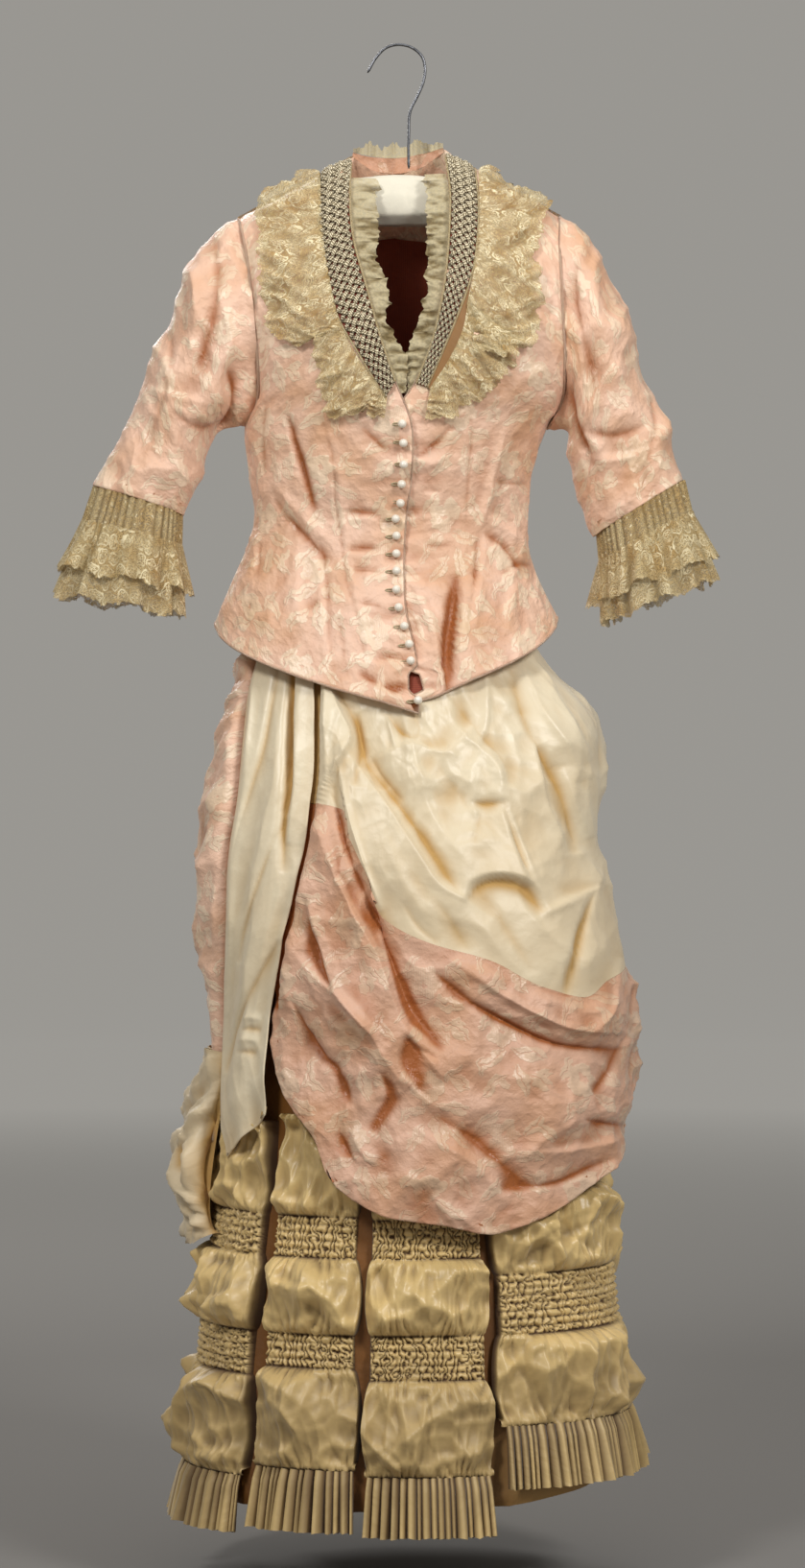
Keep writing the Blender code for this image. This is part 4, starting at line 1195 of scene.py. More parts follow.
DRAPE_FOLDS = (  # of the satin, and of the brocade below it
    (-7, 3, 8, 1.08, 331, 680, 330, 750, 331, 845),
    (5, 4, 7, 1.08, 342, 680, 340, 740, 343, 820),
    (10, 27, 2.1, 1.08, 341, 700, 352, 735, 366, 770, 358, 790, 345, 812, 331, 842),
    (-8, 4.8, 19.2, 1.08, 350, 716, 370, 752, 380, 790, 394, 824),
    (9, 24, 3.5, 1.08, 356, 776, 376, 802, 398, 832, 436, 891, 462, 926, 486, 938),
    (-9, 4.8, 19.2, 1.08, 380, 792, 410, 830, 442, 875, 467, 915, 482, 936),
    (8, 21, 4.2, 1.08, 354, 790, 366, 850, 380, 900, 398, 950),
    (-7, 3, 10.5, 1.08, 344, 800, 350, 840, 362, 884, 376, 930),
    (7, 2.5, 34, 1.08, 480, 940, 492, 918, 512, 911, 535, 914, 552, 922, 570, 956),
    (-7, 21, 2.5, 1.08, 486, 940, 496, 925, 520, 918, 545, 925, 564, 952),
    (7, 45, 4, 1.08, 392, 790, 405, 785, 431, 777, 464, 784, 484, 764),
    (-7, 4.2, 12, 1.08, 398, 738, 410, 752, 420, 764, 434, 772),
    (-4, 14.4, 4.8, 1.08, 430, 735, 436, 752, 438, 770),
    (5, 2.4, 7.2, 1.08, 401, 738, 406, 756, 412, 782),
    (6, 28.8, 6.4, 1.08, 458, 725, 464, 735, 481, 763, 519, 803, 521, 832, 524, 842),
    (-4, 5.1, 15, 1.08, 468, 724, 478, 736, 498, 762, 526, 798, 530, 822),
    (-5, 7.2, 3.2, 1.08, 490, 835, 506, 837, 528, 837),
    (-3, 2.4, 7.2, 1.08, 501, 845, 497, 858, 492, 880),
    (4, 7.2, 2.4, 1.08, 519, 836, 532, 880, 541, 912, 548, 924),
    (-4, 2.4, 7.2, 1.08, 524, 838, 537, 880, 546, 908, 552, 918),
    (4, 7.2, 2.4, 1.08, 527, 836, 542, 878, 550, 904, 558, 920),
    (5, 12, 3.4, 1.08, 505, 700, 508, 730, 507, 756, 496, 780),
    (-9, 16.8, 6.4, 1.08, 534, 690, 538, 710, 549, 749, 568, 790, 583, 818, 600, 890),
    (6, 4, 12, 1.08, 541, 688, 563, 737, 589, 780, 601, 815),
    (5, 15, 3.4, 1.08, 548, 740, 556, 761, 568, 832, 592, 893),
    (5, 4.8, 9.6, 1.08, 586, 800, 599, 843, 613, 874),
    (4, 14.4, 4, 1.08, 560, 700, 587, 737, 615, 792),
    (6, 21, 3.4, 1.08, 560, 954, 589, 940, 622, 925),
    (-6, 12, 3.4, 1.08, 618, 920, 604, 973, 590, 1040),
    (5, 21, 4.2, 1.08, 607, 935, 596, 975, 580, 1035),
    (-4, 24, 8, 1.08, 498, 925, 504, 935, 523, 961, 556, 1015),
    (4, 9.6, 24, 1.6, 478, 930, 500, 965, 530, 1000, 566, 1030),
    (-3, 14.4, 4.8, 1.08, 456, 940, 474, 966, 490, 992),
    (-3, 4, 12, 1.08, 420, 940, 436, 966, 458, 984),
    (3, 24, 8, 1.6, 398, 860, 412, 900, 432, 940, 458, 976),
    (-8, 3.2, 12, 1.08, 370, 740, 374, 780, 370, 820),
    (-5, 9.6, 3.2, 1.08, 385, 785, 395, 800, 422, 835),
    (3, 15, 5.1, 1.08, 430, 800, 446, 840, 470, 880, 492, 906),
    (-2.5, 19.2, 6.4, 1.08, 456, 800, 482, 830, 498, 862),
    (-13, 9.6, 19.2, 1.08, 370, 905, 387, 951, 408, 1004, 428, 1051, 462, 1096),
    (8, 30, 3.4, 1.08, 333, 850, 350, 905, 367, 946, 393, 992, 417, 1057, 430, 1080),
    (5, 4, 9.6, 1.08, 312, 900, 329, 963, 349, 1028, 407, 1095),
    (-6, 9.6, 3.2, 1.08, 321, 920, 326, 972, 340, 1013, 369, 1060),
    (8, 21, 6.8, 1.08, 297, 975, 326, 1013, 349, 1033, 387, 1075, 408, 1113, 424, 1137),
    (-8, 16.8, 6.4, 1.08, 304, 1038, 326, 1089, 352, 1119, 366, 1154),
    (-6, 4, 12, 1.08, 396, 1116, 405, 1136, 385, 1180),
    (5, 9.6, 3.2, 1.08, 428, 1068, 414, 1104, 425, 1127, 450, 1152),
    (5, 3.2, 9.6, 1.08, 424, 1070, 446, 1104, 462, 1126),
    (-8, 12, 4.2, 1.08, 450, 1010, 493, 1045, 534, 1066, 578, 1086, 650, 1094),
    (6, 3.4, 18, 1.08, 468, 1000, 534, 1045, 592, 1073, 650, 1078),
    (5, 19.2, 6.4, 1.08, 428, 1172, 458, 1192, 493, 1212, 530, 1258),
    (-4, 6.4, 19.2, 1.08, 450, 1160, 480, 1178, 516, 1206, 548, 1240),
    (5, 19.2, 6.4, 1.08, 548, 1202, 601, 1198, 658, 1184),
    (-5, 5.6, 16.8, 1.08, 518, 1240, 592, 1230, 642, 1204),
    (5, 14.4, 4.8, 1.08, 604, 1086, 636, 1042, 646, 998),
    (-5, 4.8, 14.4, 1.08, 618, 1140, 636, 1119, 650, 1078),
    (-5, 14.4, 4.8, 1.08, 606, 1166, 630, 1170, 660, 1174),
    (6, 26, 22, 1.8, 440, 1130, 500, 1150, 570, 1160, 620, 1150),
    (-4, 9.6, 3.2, 1.08, 418, 1078, 436, 1092, 464, 1106),
    (4, 3.2, 9.6, 1.08, 450, 1245, 462, 1262, 478, 1286),
    (-4, 12, 4, 1.08, 352, 1180, 362, 1200, 372, 1214),
    (4, 4, 12, 1.08, 364, 1176, 374, 1196, 388, 1214),
)
SIDE_FOLDS = (
    (-9, 3.0, 3.4, 1.3, 305, 660, 305, 700, 303, 745, 301, 795, 297, 850),
    (-5, 2, 14, 1.05, 300, 640, 290, 700, 282, 740, 274, 780, 258, 832, 249, 866, 243, 905),
    (-5, 2, 16, 1.05, 300, 850, 287, 877, 275, 906, 262, 942, 254, 968, 248, 1004),
    (-9, 3, 8, 1.1, 303, 690, 301, 740, 300, 780, 302, 820, 297, 845, 295, 910),
    (7, 3, 12, 1.2, 309, 690, 308, 740, 309, 790, 306, 840, 300, 880),
    (-6, 2, 12, 1.05, 290, 980, 276, 1005, 257, 1046, 243, 1084, 235, 1118),
    (5, 10, 4, 1.2, 268, 700, 262, 760, 248, 830, 238, 900, 236, 980, 235, 1060),
    (-3, 2, 5, 1.05, 240, 960, 236, 1040, 234, 1110, 233, 1180),
    (2.5, 4, 4, 1.2, 256, 1062, 264, 1060, 274, 1063),
    (-2.5, 3, 3, 1.2, 254, 1073, 264, 1072, 274, 1074),
    (2.5, 4, 4, 1.2, 252, 1084, 262, 1083, 272, 1086),
    (-2.5, 3, 3, 1.2, 250, 1096, 260, 1096, 270, 1098),
    (-4, 3, 6, 1.1, 318, 880, 313, 930, 305, 965, 296, 990),
)
PANEL_FOLDS = (
    (6, 12, 4, 1.08, 251, 1176, 243, 1205, 234, 1230),
    (-5, 3.2, 9.6, 1.08, 266, 1218, 257, 1238, 252, 1256),
    (5, 9.6, 3.2, 1.08, 250, 1180, 262, 1215, 275, 1253),
    (-7, 4.8, 12, 1.08, 204, 1314, 232, 1349, 256, 1345, 277, 1317),
    (6, 12, 4.2, 1.08, 208, 1330, 232, 1362, 258, 1358, 280, 1331),
    (-6, 4, 12, 1.08, 207, 1348, 239, 1376, 263, 1373, 284, 1342),
    (5, 12, 4, 1.08, 226, 1424, 238, 1440, 250, 1460),
    (-6, 4.8, 12, 1.08, 198, 1518, 225, 1531, 260, 1524),
    (5, 16.8, 4, 1.08, 198, 1500, 226, 1514, 262, 1506),
    (6, 4, 12, 1.08, 297, 1316, 318, 1328, 306, 1350),
    (-6, 12, 4, 1.08, 304, 1340, 328, 1356, 360, 1404),
    (5, 3.2, 9.6, 1.08, 312, 1328, 340, 1332, 370, 1336),
    (-8, 12, 4, 1.08, 353, 1405, 364, 1366, 378, 1313),
    (6, 4.8, 12, 1.08, 340, 1396, 348, 1362, 366, 1316),
    (-6, 12, 4, 1.08, 312, 1496, 346, 1476, 382, 1450),
    (5, 4.8, 12, 1.08, 292, 1480, 326, 1466, 364, 1440),
    (-5, 9.6, 3.2, 1.08, 343, 1476, 356, 1521, 376, 1534),
    (-6, 4, 12, 1.08, 391, 1322, 402, 1346, 413, 1370),
    (5, 12, 4, 1.08, 438, 1318, 421, 1366, 426, 1388),
    (-9, 4.8, 12, 1.08, 468, 1322, 476, 1360, 474, 1402),
    (7, 14.4, 4.8, 1.08, 484, 1322, 490, 1360, 488, 1400),
    (5, 4.8, 12, 1.08, 420, 1390, 438, 1380, 460, 1388),
    (-6, 12, 4, 1.08, 406, 1448, 415, 1493, 388, 1528),
    (6, 4.8, 14.4, 1.08, 428, 1448, 438, 1490, 424, 1536),
    (-6, 12, 4, 1.08, 438, 1442, 446, 1474, 443, 1508),
    (-6, 4, 12, 1.08, 468, 1470, 478, 1510, 474, 1546),
    (6, 14.4, 4.8, 1.08, 492, 1450, 500, 1490, 494, 1536),
    (9, 4.2, 13.5, 1.08, 512, 1330, 548, 1290, 590, 1262, 640, 1238),
    (-8, 13.5, 3.4, 1.08, 516, 1340, 556, 1300, 600, 1274, 646, 1256),
    (8, 13.5, 3.4, 1.08, 512, 1246, 548, 1276, 584, 1316, 622, 1336),
    (-7, 3.4, 13.5, 1.08, 524, 1238, 560, 1264, 600, 1300, 640, 1322),
    (-7, 4, 12, 1.08, 520, 1400, 546, 1440, 560, 1486),
    (6, 16.8, 5.6, 1.08, 540, 1396, 568, 1434, 580, 1480),
    (-6, 4, 12, 1.08, 580, 1390, 598, 1430, 604, 1472),
    (6, 14.4, 4.8, 1.08, 616, 1384, 628, 1424, 630, 1464),
)
POUF_FOLDS = (
    (-8, 12, 4, 1.08, 212, 1148, 213, 1190, 211, 1222, 200, 1274),
    (7, 5.6, 14.4, 1.08, 186, 1176, 198, 1210, 190, 1246),
    (-6, 12, 4, 1.08, 196, 1146, 192, 1186, 184, 1222),
    (6, 4.8, 14.4, 1.08, 226, 1142, 226, 1196, 220, 1250),
)
BACK_FOLDS = (  # across from the left side seam, and down
    (8, 33, 8.5, 1.08, 40, 60, 150, 190, 290, 240, 420, 180, 520, 60),
    (-7, 9.6, 38.4, 1.08, 40, 100, 150, 232, 290, 284, 420, 226, 530, 96),
    (8, 27, 8.5, 1.08, 30, 160, 150, 290, 285, 340, 430, 280, 540, 150),
    (-7, 8, 33.6, 1.08, 30, 205, 150, 330, 285, 382, 430, 322, 540, 190),
    (6, 33.6, 11.2, 1.6, 190, 6, 205, 60, 235, 130),
    (-6, 8, 24, 1.08, 230, 6, 245, 70, 262, 150),
    (7, 33.6, 9.6, 1.6, 290, 6, 292, 80, 286, 160),
    (-6, 8, 24, 1.08, 340, 6, 335, 70, 318, 150),
    (6, 33.6, 11.2, 1.6, 385, 6, 372, 70, 345, 130),
    (-6, 6.4, 24, 1.08, 60, 300, 110, 360, 190, 410),
    (6, 24, 8, 1.08, 420, 400, 480, 350, 530, 290),
)
HIDDEN_FOLDS = (  # of panels out of sight, across and down
    (-6, 14.4, 4.8, 1.08, 20, 20, 40, 60, 30, 96),
    (6, 5.6, 14.4, 1.08, 70, 130, 100, 160, 150, 168, 190, 140),
    (-6, 14.4, 4.8, 1.08, 60, 150, 110, 184, 160, 186, 205, 152),
    (5, 4.8, 14.4, 1.08, 150, 10, 170, 50, 162, 90),
    (-6, 14.4, 4.8, 1.08, 110, 270, 130, 320, 120, 352),
    (6, 5.6, 16.8, 1.08, 30, 290, 70, 330, 130, 336),
    (-5, 12, 4, 1.08, 180, 280, 200, 310, 230, 340),
)

# Outlines on the front elevation: an inner edge and an outer one
BRAIDS = {
    "right": (
        ((372, 168), (366, 203), (369, 251), (383, 300), (396, 348), (412, 398)),
        ((334, 182), (333, 235), (342, 289), (353, 332), (374, 369), (402, 415)),
    ),
    "left": (
        ((461, 163), (467, 193), (468, 235), (466, 270), (462, 305), (452, 348), (434, 400)),
        ((494, 178), (498, 214), (497, 250), (491, 289), (480, 321), (467, 353), (445, 404)),
    ),
}
COLLAR = {  # for each side its upper and its lower tier
    "right": (
        (
            ((335, 180), (337, 240), (346, 300), (355, 340)),
            ((318, 177), (286, 196), (269, 222), (271, 262), (272, 300), (282, 338), (306, 361), (338, 354)),
        ),
        (
            ((355, 338), (366, 360), (384, 388), (404, 412)),
            ((328, 350), (332, 392), (336, 420), (350, 436), (374, 431), (402, 432)),
        ),
    ),
    "left": (
        (
            ((497, 180), (499, 230), (493, 285), (486, 318)),
            ((508, 177), (536, 196), (563, 216), (561, 250), (557, 290), (561, 335), (546, 364), (494, 368)),
        ),
        (
            ((487, 316), (483, 340), (468, 374), (448, 404)),
            ((546, 352), (530, 382), (504, 412), (476, 427), (442, 438)),
        ),
    ),
}
# Dark brown strips that stand for the shadow and the lining seen between braid and lace: partly painted
# shadow
SHADOW_GAPS = {  # between braid and lace
    "right": ((((347, 322), (355, 338), (362, 352)), ((340, 326), (346, 344), (358, 354))),),
    "left": (
        (((486, 300), (478, 322), (465, 354), (444, 400)), ((492, 306), (489, 340), (474, 374), (450, 410))),
    ),
}
FRILL_EDGES = {  # free edges of the neck frills, on the elevation
    "right": (
        (393, 160), (393, 246), (391, 269), (399, 284), (405, 303),
        (401, 334), (412, 349), (416, 360), (424, 374),
    ),
    "left": (
        (440, 160), (447, 244), (445, 257), (448, 269), (444, 284),
        (447, 303), (439, 326), (431, 349), (424, 374),
    ),
}
FRONTS = {"right": FRONT_RIGHT, "left": FRONT_LEFT}
BACK_ARMHOLES = {"right": BACK_ARMHOLE_RIGHT, "left": BACK_ARMHOLE_LEFT}
BACK_NECKS = {"right": BACK_NECK_RIGHT, "left": BACK_NECK_LEFT}
BODICE_FOLDS = {"right": BODICE_RIGHT_FOLDS, "left": BODICE_LEFT_FOLDS}
SLEEVES = {"right": SLEEVE_RIGHT, "left": SLEEVE_LEFT}
CUFFS = {"right": CUFF_RIGHT, "left": CUFF_LEFT}
CRUMPLES = {  # spacing, depth, seed, how deep a hollow is shaded in full
    "front_right": ((26, 34), 1.25, 11, 3.2),
    "front_left": ((26, 34), 1.25, 12, 3.2),
    "back": (27, 1.3, 13, 3.2),
    "sleeve_right": ((36, 52), 3.4, 21, 4.0),
    "sleeve_left": ((36, 52), 3.4, 22, 4.0),
    "band": (12, 0.4, 61, 4.0),
    "side_panel": ((40, 120), 1.4, 131, 4.0),
    "satin_drape": ((60, 84), 2.6, 141, 4.8),
    "brocade_drape": ((40, 48), 3.2, 151, 3.3),
    "back_drapery": ((44, 54), 4.0, 161, 4.0),
    "pouf": ((34, 90), 6.0, 172, 7.0),
}
HEM_DEPTH = 9  # how far the bodice's edges turn in
CUFF_WAVES = (  # waves round the ring, height
    (5, 0.5), (9, 0.8), (13, 0.7), (21, 0.35),
)
COLLAR_FLUTES = 4.6  # flutes along each tier of the collar
FLUTE_LIFT = 5.5
FLUTE_HEIGHT = 5.0
FRAYING = (  # spacing, depth, seed of the collar lace's ragged edge
    (20, 4.5, 50), (6, 1.5, 49),
)
BODICE_DEEPER = 1.35  # times the placed folds' depths, on both fronts
PULL_DEPTH = 2.2  # of the pulls toward the buttons, which fade over PULL_REACH
PULL_REACH = 34
CLOSURE_X = 424  # across on the elevation, of the fronts' meeting edges
CLOSURE_GAP = (693, 703, 718, 730)  # down, between the two lowest buttons: where the gap opens and shuts
CUFF_TIERS = (  # name, start and end as shares of the cone, lift at the start and the end, flute
    ("cuff_net", 0.005, 0.55, 0.6, 2.5, 0.8),
    ("cuff_lace_lower", 0.42, 1.0, 3.0, 7.0, 4.5),
    ("cuff_lace_upper", 0.3, 0.78, 2.6, 14.0, 5.5),
)
COLLAR_LIFTS = {"upper": 3.8, "lower": 2.6}  # of each tier off the front
PLAIT_PERIOD = 60.0  # length of a strand's run across and back
PLAIT_LIFT = 4.4  # of the plait's middle off the front
STRAND_SPAN = 0.86  # share of the plait's width that a strand crosses
STRAND_RISE = 1.8  # how far a strand goes over and under
CORD_RADIUS = 1.15
BAND_GATHERS = 6.0  # depth of the gathers within a shirred band
FINE_GATHERS = 4.0  # and beside it, fading over FINE_REACH
FINE_REACH = 7
WIDE_GATHERS = 8.0  # and farther into a puff, fading over WIDE_REACH
WIDE_REACH = 15
WIDE_PITCH = 13
PUFF_CRUMPLES = (  # spacing across and down, depth, first seed
    ((25, 90), 5.0, 91), ((46, 58), 9.0, 101),
)
PLACED_SHARE = 0.55  # of a placed fold's depth, on the panels
PUFF_ROW = 2.7  # spacing of a puff's rows of points, of a band's, and of their columns
BAND_ROW = 1.3
PANEL_COLUMN = 0.84
PLEAT_WIDTHS = (0.55, 1.6)  # least and most, in shares of the mean
PLEAT_DEPTHS = (0.7, 1.3)
SHANK = ((1.5, 0.98), (1.2, 1.35))  # radius, and how far behind the button's middle, in its radii
BUTTONHOLE_AWAY = 6.5  # from the button's middle
BUTTONHOLE = (4.2, 1.3)  # half sizes
PAD_SHRINK = 3.0  # of the pad's form before it swells
PAD_VOXEL = 0.005  # metres, as is the swelling's cap
SWELL_PRESSURE = 4
SWELL_FRAMES = 20
SWELL_CAP = 0.004
BACK_TUCK = 9  # how far the back drapery's edges go under the pieces beside it
POUF_TUCK = 20
POUF_TUCK_EASED = 11  # so much less near the pouf's top, beside the side panel
PUFF_DEPTH = 20.0
PUFF_SPREAD = 2.0  # degrees to each side
PUFF_EDGE = 0.04  # share across where a puff's rounding starts
PANEL_LIFT = 2.2
FLOUNCE_FLARE = 8.0
TUCK = 20.0  # of both drapes under the side panel
FULLNESS = (0.55, 0, 1.0, 0, 1.0)  # of a panel's zones down from its top, and 0 in a shirred band
CROSSED_FULLNESS = (0.3, 1.0, 0, 0, 1.0)
STITCH_PITCH = 7.6  # between the rows of stitches of a shirred band
PLEAT = ((0.0, -0.4), (0.22, 6.0), (0.6, 5.0), (1.06, -0.2), (0.7, -2.2))  # shares across, and how far out
# painted shade at each point of a pleat: full in the fold under the next one
PLEAT_SHADE = (1.0, 0.0, 0.35, 1.0, 1.0)
BAND_HEIGHTS = (5.0, 14.0, 16.5, 14.5, 5.0)
FRILL_HEIGHT = 15.0
HOOK_WIRE = 1.5


# ---------------------------------------------------------------- forms and pieces


def sizes():
    """The sizes that a user may change."""
    return bpy.context.scene.dress_sizes


def spaced(rows):
    """Each row's mean distance from the first one."""
    steps = np.linalg.norm(np.diff(rows, axis=0), axis=-1)
    steps = steps.reshape(len(steps), -1).mean(1)
    return np.concatenate([[0], np.cumsum(steps)])


def refined(rows, count):
    """The rows of a table, or of a grid, drawn smoothly at an even spacing."""
    rows = np.asarray(rows, float)
    knots = spaced(rows)
    return smooth(knots, rows, np.linspace(0, knots[-1], count + 1))


def front_facing(grid, closed=False):
    """1 where a grid faces the viewer, fading to 0 where it turns away."""
    return eased(-normals(grid, closed)[..., 1], 0.02, 0.3)


def own_places(grid, closed=False):
    """Each point's lengths across from the first column and down, in millimetres."""
    across = arc_lengths(grid, 1, closed)[:, : grid.shape[1]]
    return np.stack([across, arc_lengths(grid, 0)], -1)


def creased(name, grid, heights, share=1, reach=8, closed=False, places=None):
    """The grid moved out by its folds, with that share of the named piece's crumples and wider ones over it,
    and the hollows between them shaded."""
    spacing, depth, seed, hollow = CRUMPLES[name]
    heights = sizes().fold_strength * heights
    spacing = np.asarray(spacing)
    if places is None:
        places = elevation(grid) if closed else own_places(grid)
    wider = crumpled(places, 2.3 * spacing, seed + 1)
    small = depth * share * (crumpled(places, spacing, seed) + 1.1 * wider)
    raised = moved_out(grid, heights + small, closed)
    return shaded(raised, hollows(heights + 0.4 * small, reach, hollow))


def stretched_out(lengths):
    """Lengths along a line as places on the flat."""
    return np.stack([lengths, 0 * lengths], -1)


def section_grid(table, shares):
    """The sections of half a bodice as a grid; shares holds each section's places from its inner edge. A
    section runs over a turn of an ellipse: x as the sine of its share of the sweep, y as 1 less the
    cosine."""
    inner, outer = table[:, :3], table[:, 3:6]
    sweep = np.radians(table[:, 6])[:, None]
    x_share = np.sin(shares * sweep) / np.sin(sweep)
    y_share = (1 - np.cos(shares * sweep)) / (1 - np.cos(sweep))
    span = (outer - inner)[:, None]
    return inner[:, None] + span * np.stack([x_share, y_share, shares + 0 * sweep], -1)


def front_form(side, rows=210, columns=92):
    """A front's form, running to the viewer's right."""
    table = refined(FRONTS[side], rows)
    grid = section_grid(table, shares_across(columns))
    return grid[:, ::-1] if side == "right" else grid


def front_cloth(side, rows=210, columns=92):
    """A front's form with its folds."""
    grid = front_form(side, rows, columns)
    folds = BODICE_FOLDS[side]
    heights = BODICE_DEEPER * fold_heights(elevation(grid), folds) * front_facing(grid)
    middle = elevation(grid)[..., 0] - CLOSURE_X
    pulls = eased(elevation(grid)[..., 1], 430, 470) * np.exp(-np.abs(middle) / PULL_REACH)
    heights += PULL_DEPTH * pulls * crumpled(elevation(grid), (70, 17), 14)
    free = eased(np.linspace(0, 1, columns + 1)[None, :: 1 if side == "right" else -1], 0, 0.09)
    return closure_gap(creased(f"front_{side}", grid, heights * free, free), side)


def closure_gap(grid, side):
    """The front with its inner edge drawn back between the two lowest buttons."""
    seen = elevation(grid)
    gap = eased(seen[..., 1], *CLOSURE_GAP[:2]) * (1 - eased(seen[..., 1], *CLOSURE_GAP[2:]))
    if side == "right":
        shift = -10 * gap * eased(seen[..., 0], CLOSURE_X - 28, CLOSURE_X + 12)
    else:
        shift = 24 * gap * (1 - eased(seen[..., 0], CLOSURE_X, CLOSURE_X + 46))
    grid[..., 0] += shift
    return grid


def back_form(rows=150, columns=62):
    """The back's form, from the wearer's left armhole across the middle to the right one."""
    halves = []
    for front, armhole, neck in zip(FRONTS.values(), BACK_ARMHOLES.values(), BACK_NECKS.values()):
        seam = [np.add(row[3:6], (0, SIDE_SEAM, 0)) for row in front[len(armhole) :]]
        side = np.concatenate([armhole, seam])
        table = [(BACK_MIDDLE_X, y, z, *place, sweep) for (y, z, sweep), place in zip(BACK_MIDDLE, side)]
        fine = refined(table, rows)
        grid = section_grid(fine, shares_across(columns))
        shoulder = np.concatenate([[grid[0, 0]], neck[:1], np.linspace(neck[-1], armhole[0], 4)])
        at = np.linspace(0, 5, columns + 1)
        straight = np.stack([np.interp(at, range(6), shoulder[:, axis]) for axis in range(3)], -1)
        fade = np.clip(1 - np.arange(rows + 1) / (rows / 13), 0, 1)[:, None, None]
        halves.append(grid + fade * (straight - grid[0]))
    return np.concatenate([halves[0][:, ::-1], halves[1][:, 1:]], axis=1)[:, ::-1]


BACK_BODICE_FOLDS = (  # across from the wearer's left armhole, and down
    (-1.6, 1.6, 1.6, 1.2, 165, -20, 166, 150, 168, 300, 168, 500),
    (-1.5, 1.6, 1.6, 1.2, 60, 60, 95, 150, 118, 300, 108, 470),
    (-1.5, 1.6, 1.6, 1.2, 275, 60, 242, 150, 218, 300, 228, 470),
    (3.0, 10, 10, 1.5, 40, 200, 80, 240, 130, 255),
    (3.0, 10, 10, 1.5, 300, 195, 255, 238, 205, 250),
    (-3.0, 8, 8, 1.4, 60, 300, 110, 318, 160, 310),
    (-3.0, 8, 8, 1.4, 180, 316, 230, 322, 280, 300),
    (5.0, 14, 14, 1.6, 140, 390, 130, 440, 118, 500),
    (5.0, 14, 14, 1.6, 195, 390, 208, 440, 222, 500),
)


def back_cloth():
    """The back's form with its seams and folds."""
    grid = back_form()
    across = shares_across(grid.shape[1] - 1)
    free = eased(across, 0, 0.05) * (1 - eased(across, 0.95, 1))
    heights = fold_heights(own_places(grid), BACK_BODICE_FOLDS) * free
    return creased("back", grid, heights, free)


def armhole_ring(side, turns):
    """The armhole's edge at turns from its top: down the front to half a turn, and up the back."""
    table = np.asarray(FRONTS[side], float)
    hole = BACK_ARMHOLES[side]
    front = table[:ARMHOLE_ROWS, 3:6]
    rear = np.concatenate([hole, table[ARMHOLE_ROWS - 1 : ARMHOLE_ROWS, 3:6] + (0, SIDE_SEAM, 0)])
    top = (front[:1] + rear[:1]) / 2
    loop = np.concatenate([top, front[1:], rear[-2:0:-1]])
    wrapped = np.concatenate([loop[-3:], loop, loop[:4]])
    step = np.pi / (ARMHOLE_ROWS - 1)
    knots = (np.arange(len(wrapped)) - 3) * step
    return smooth(knots, wrapped, turns) + ((-1 if side == "right" else 1) * ARMHOLE_EASE, 0, 0)


def ellipse(row, turns):
    """A ring from an outer and an inner point, with a half depth, at the given turns."""
    outer_x, outer_z, inner_x, inner_z, depth = row
    middle = np.array([(outer_x + inner_x) / 2, 0, (outer_z + inner_z) / 2])
    half = np.array([(outer_x - inner_x) / 2, 0, (outer_z - inner_z) / 2])
    turns = np.asarray(turns)[:, None]
    return middle + half * np.cos(turns) - np.array([0, depth, 0]) * np.sin(turns)


def sleeve_form(side, rows=150, columns=120):
    """A sleeve's form: rings from the armhole to the wrist, joined smoothly."""
    turns = np.linspace(0, 2 * np.pi, columns, endpoint=False)
    table = SLEEVES[side]
    rings = refined([armhole_ring(side, turns)] + [ellipse(row, turns) for row in table], rows)
    return rings if side == "right" else rings[:, ::-1]


def sleeve_cloth(side):
    """A sleeve's form with its folds, and others like them on its rear half."""
    grid = sleeve_form(side)
    facing = normals(grid, True)[..., 1]
    seen = elevation(grid)
    front = fold_heights(seen, SLEEVE_FOLDS) * eased(-facing, 0.02, 0.3)
    rear = fold_heights(seen + (7, -16), SLEEVE_FOLDS) * eased(facing, 0.02, 0.3)
    return creased(f"sleeve_{side}", grid, front + rear, closed=True)


def build_bodice():
    """Both fronts, the back and the part of the lining that shows through the neck."""
    silk = finish(brocade_silk)
    right = turned_in(front_cloth("right"), "rb", depth=HEM_DEPTH)
    cloth("front_right", right, silk, ["bodice_front_right"])
    left = turned_in(front_cloth("left"), "lb", depth=HEM_DEPTH)
    cloth("front_left", left, silk, ["bodice_front_left"])
    cloth("back", turned_in(back_cloth(), "b", depth=HEM_DEPTH), silk, ["bodice_back"])
    form = back_form(100, 50)
    shown = moved_out(form[12:52, 20:-20], -3.4)
    folds = 1.2 * wave_field(shown, (60, 60, 160), 31)
    cloth("lining", moved_out(shown, folds - 1.2), finish(dark_lining), ["bodice_lining"])
    form = front_form("left", 120, 60)
    grid, out = strip(form, ((428, 686), (426, 734)), ((462, 684), (458, 734)), 10, 12)
    surface("facing", (grid - 3.2 * out)[:, ::-1], finish(dark_lining))


def build_sleeves():
    """Both sleeves, hemmed over their cuffs."""
    for side in ("right", "left"):
        grid = turned_in(sleeve_cloth(side), "b", closed=True, depth=10)
        silk = finish(brocade_silk)
        cloth(f"upper_sleeve_{side}", grid, silk, [f"sleeve_{side}"], closed=True)


def build_piping():
    """Corded edges of the bodice's hem and armholes, in the brocade: tubes along the edges of the cloth."""
    grids = []
    for cloth_grid in (front_cloth("right"), front_cloth("left"), back_cloth()):
        grids.append(tube(cloth_grid[-1, :, :3] + (0, 0, -0.6), 1.25))
    for side in ("right", "left"):
        ring = armhole_ring(side, np.linspace(0, 2 * np.pi, 121))
        grids.append(tube(ring, 1.5))
    edges = (("right", -1), ("left", 0))
    for side, column in edges:
        grids.append(tube(front_cloth(side)[70:, column, :3] + (0, 0.2, 0), 0.9, 6))
    placed("piping", tubes_mesh("piping", grids), finish(brocade_silk))


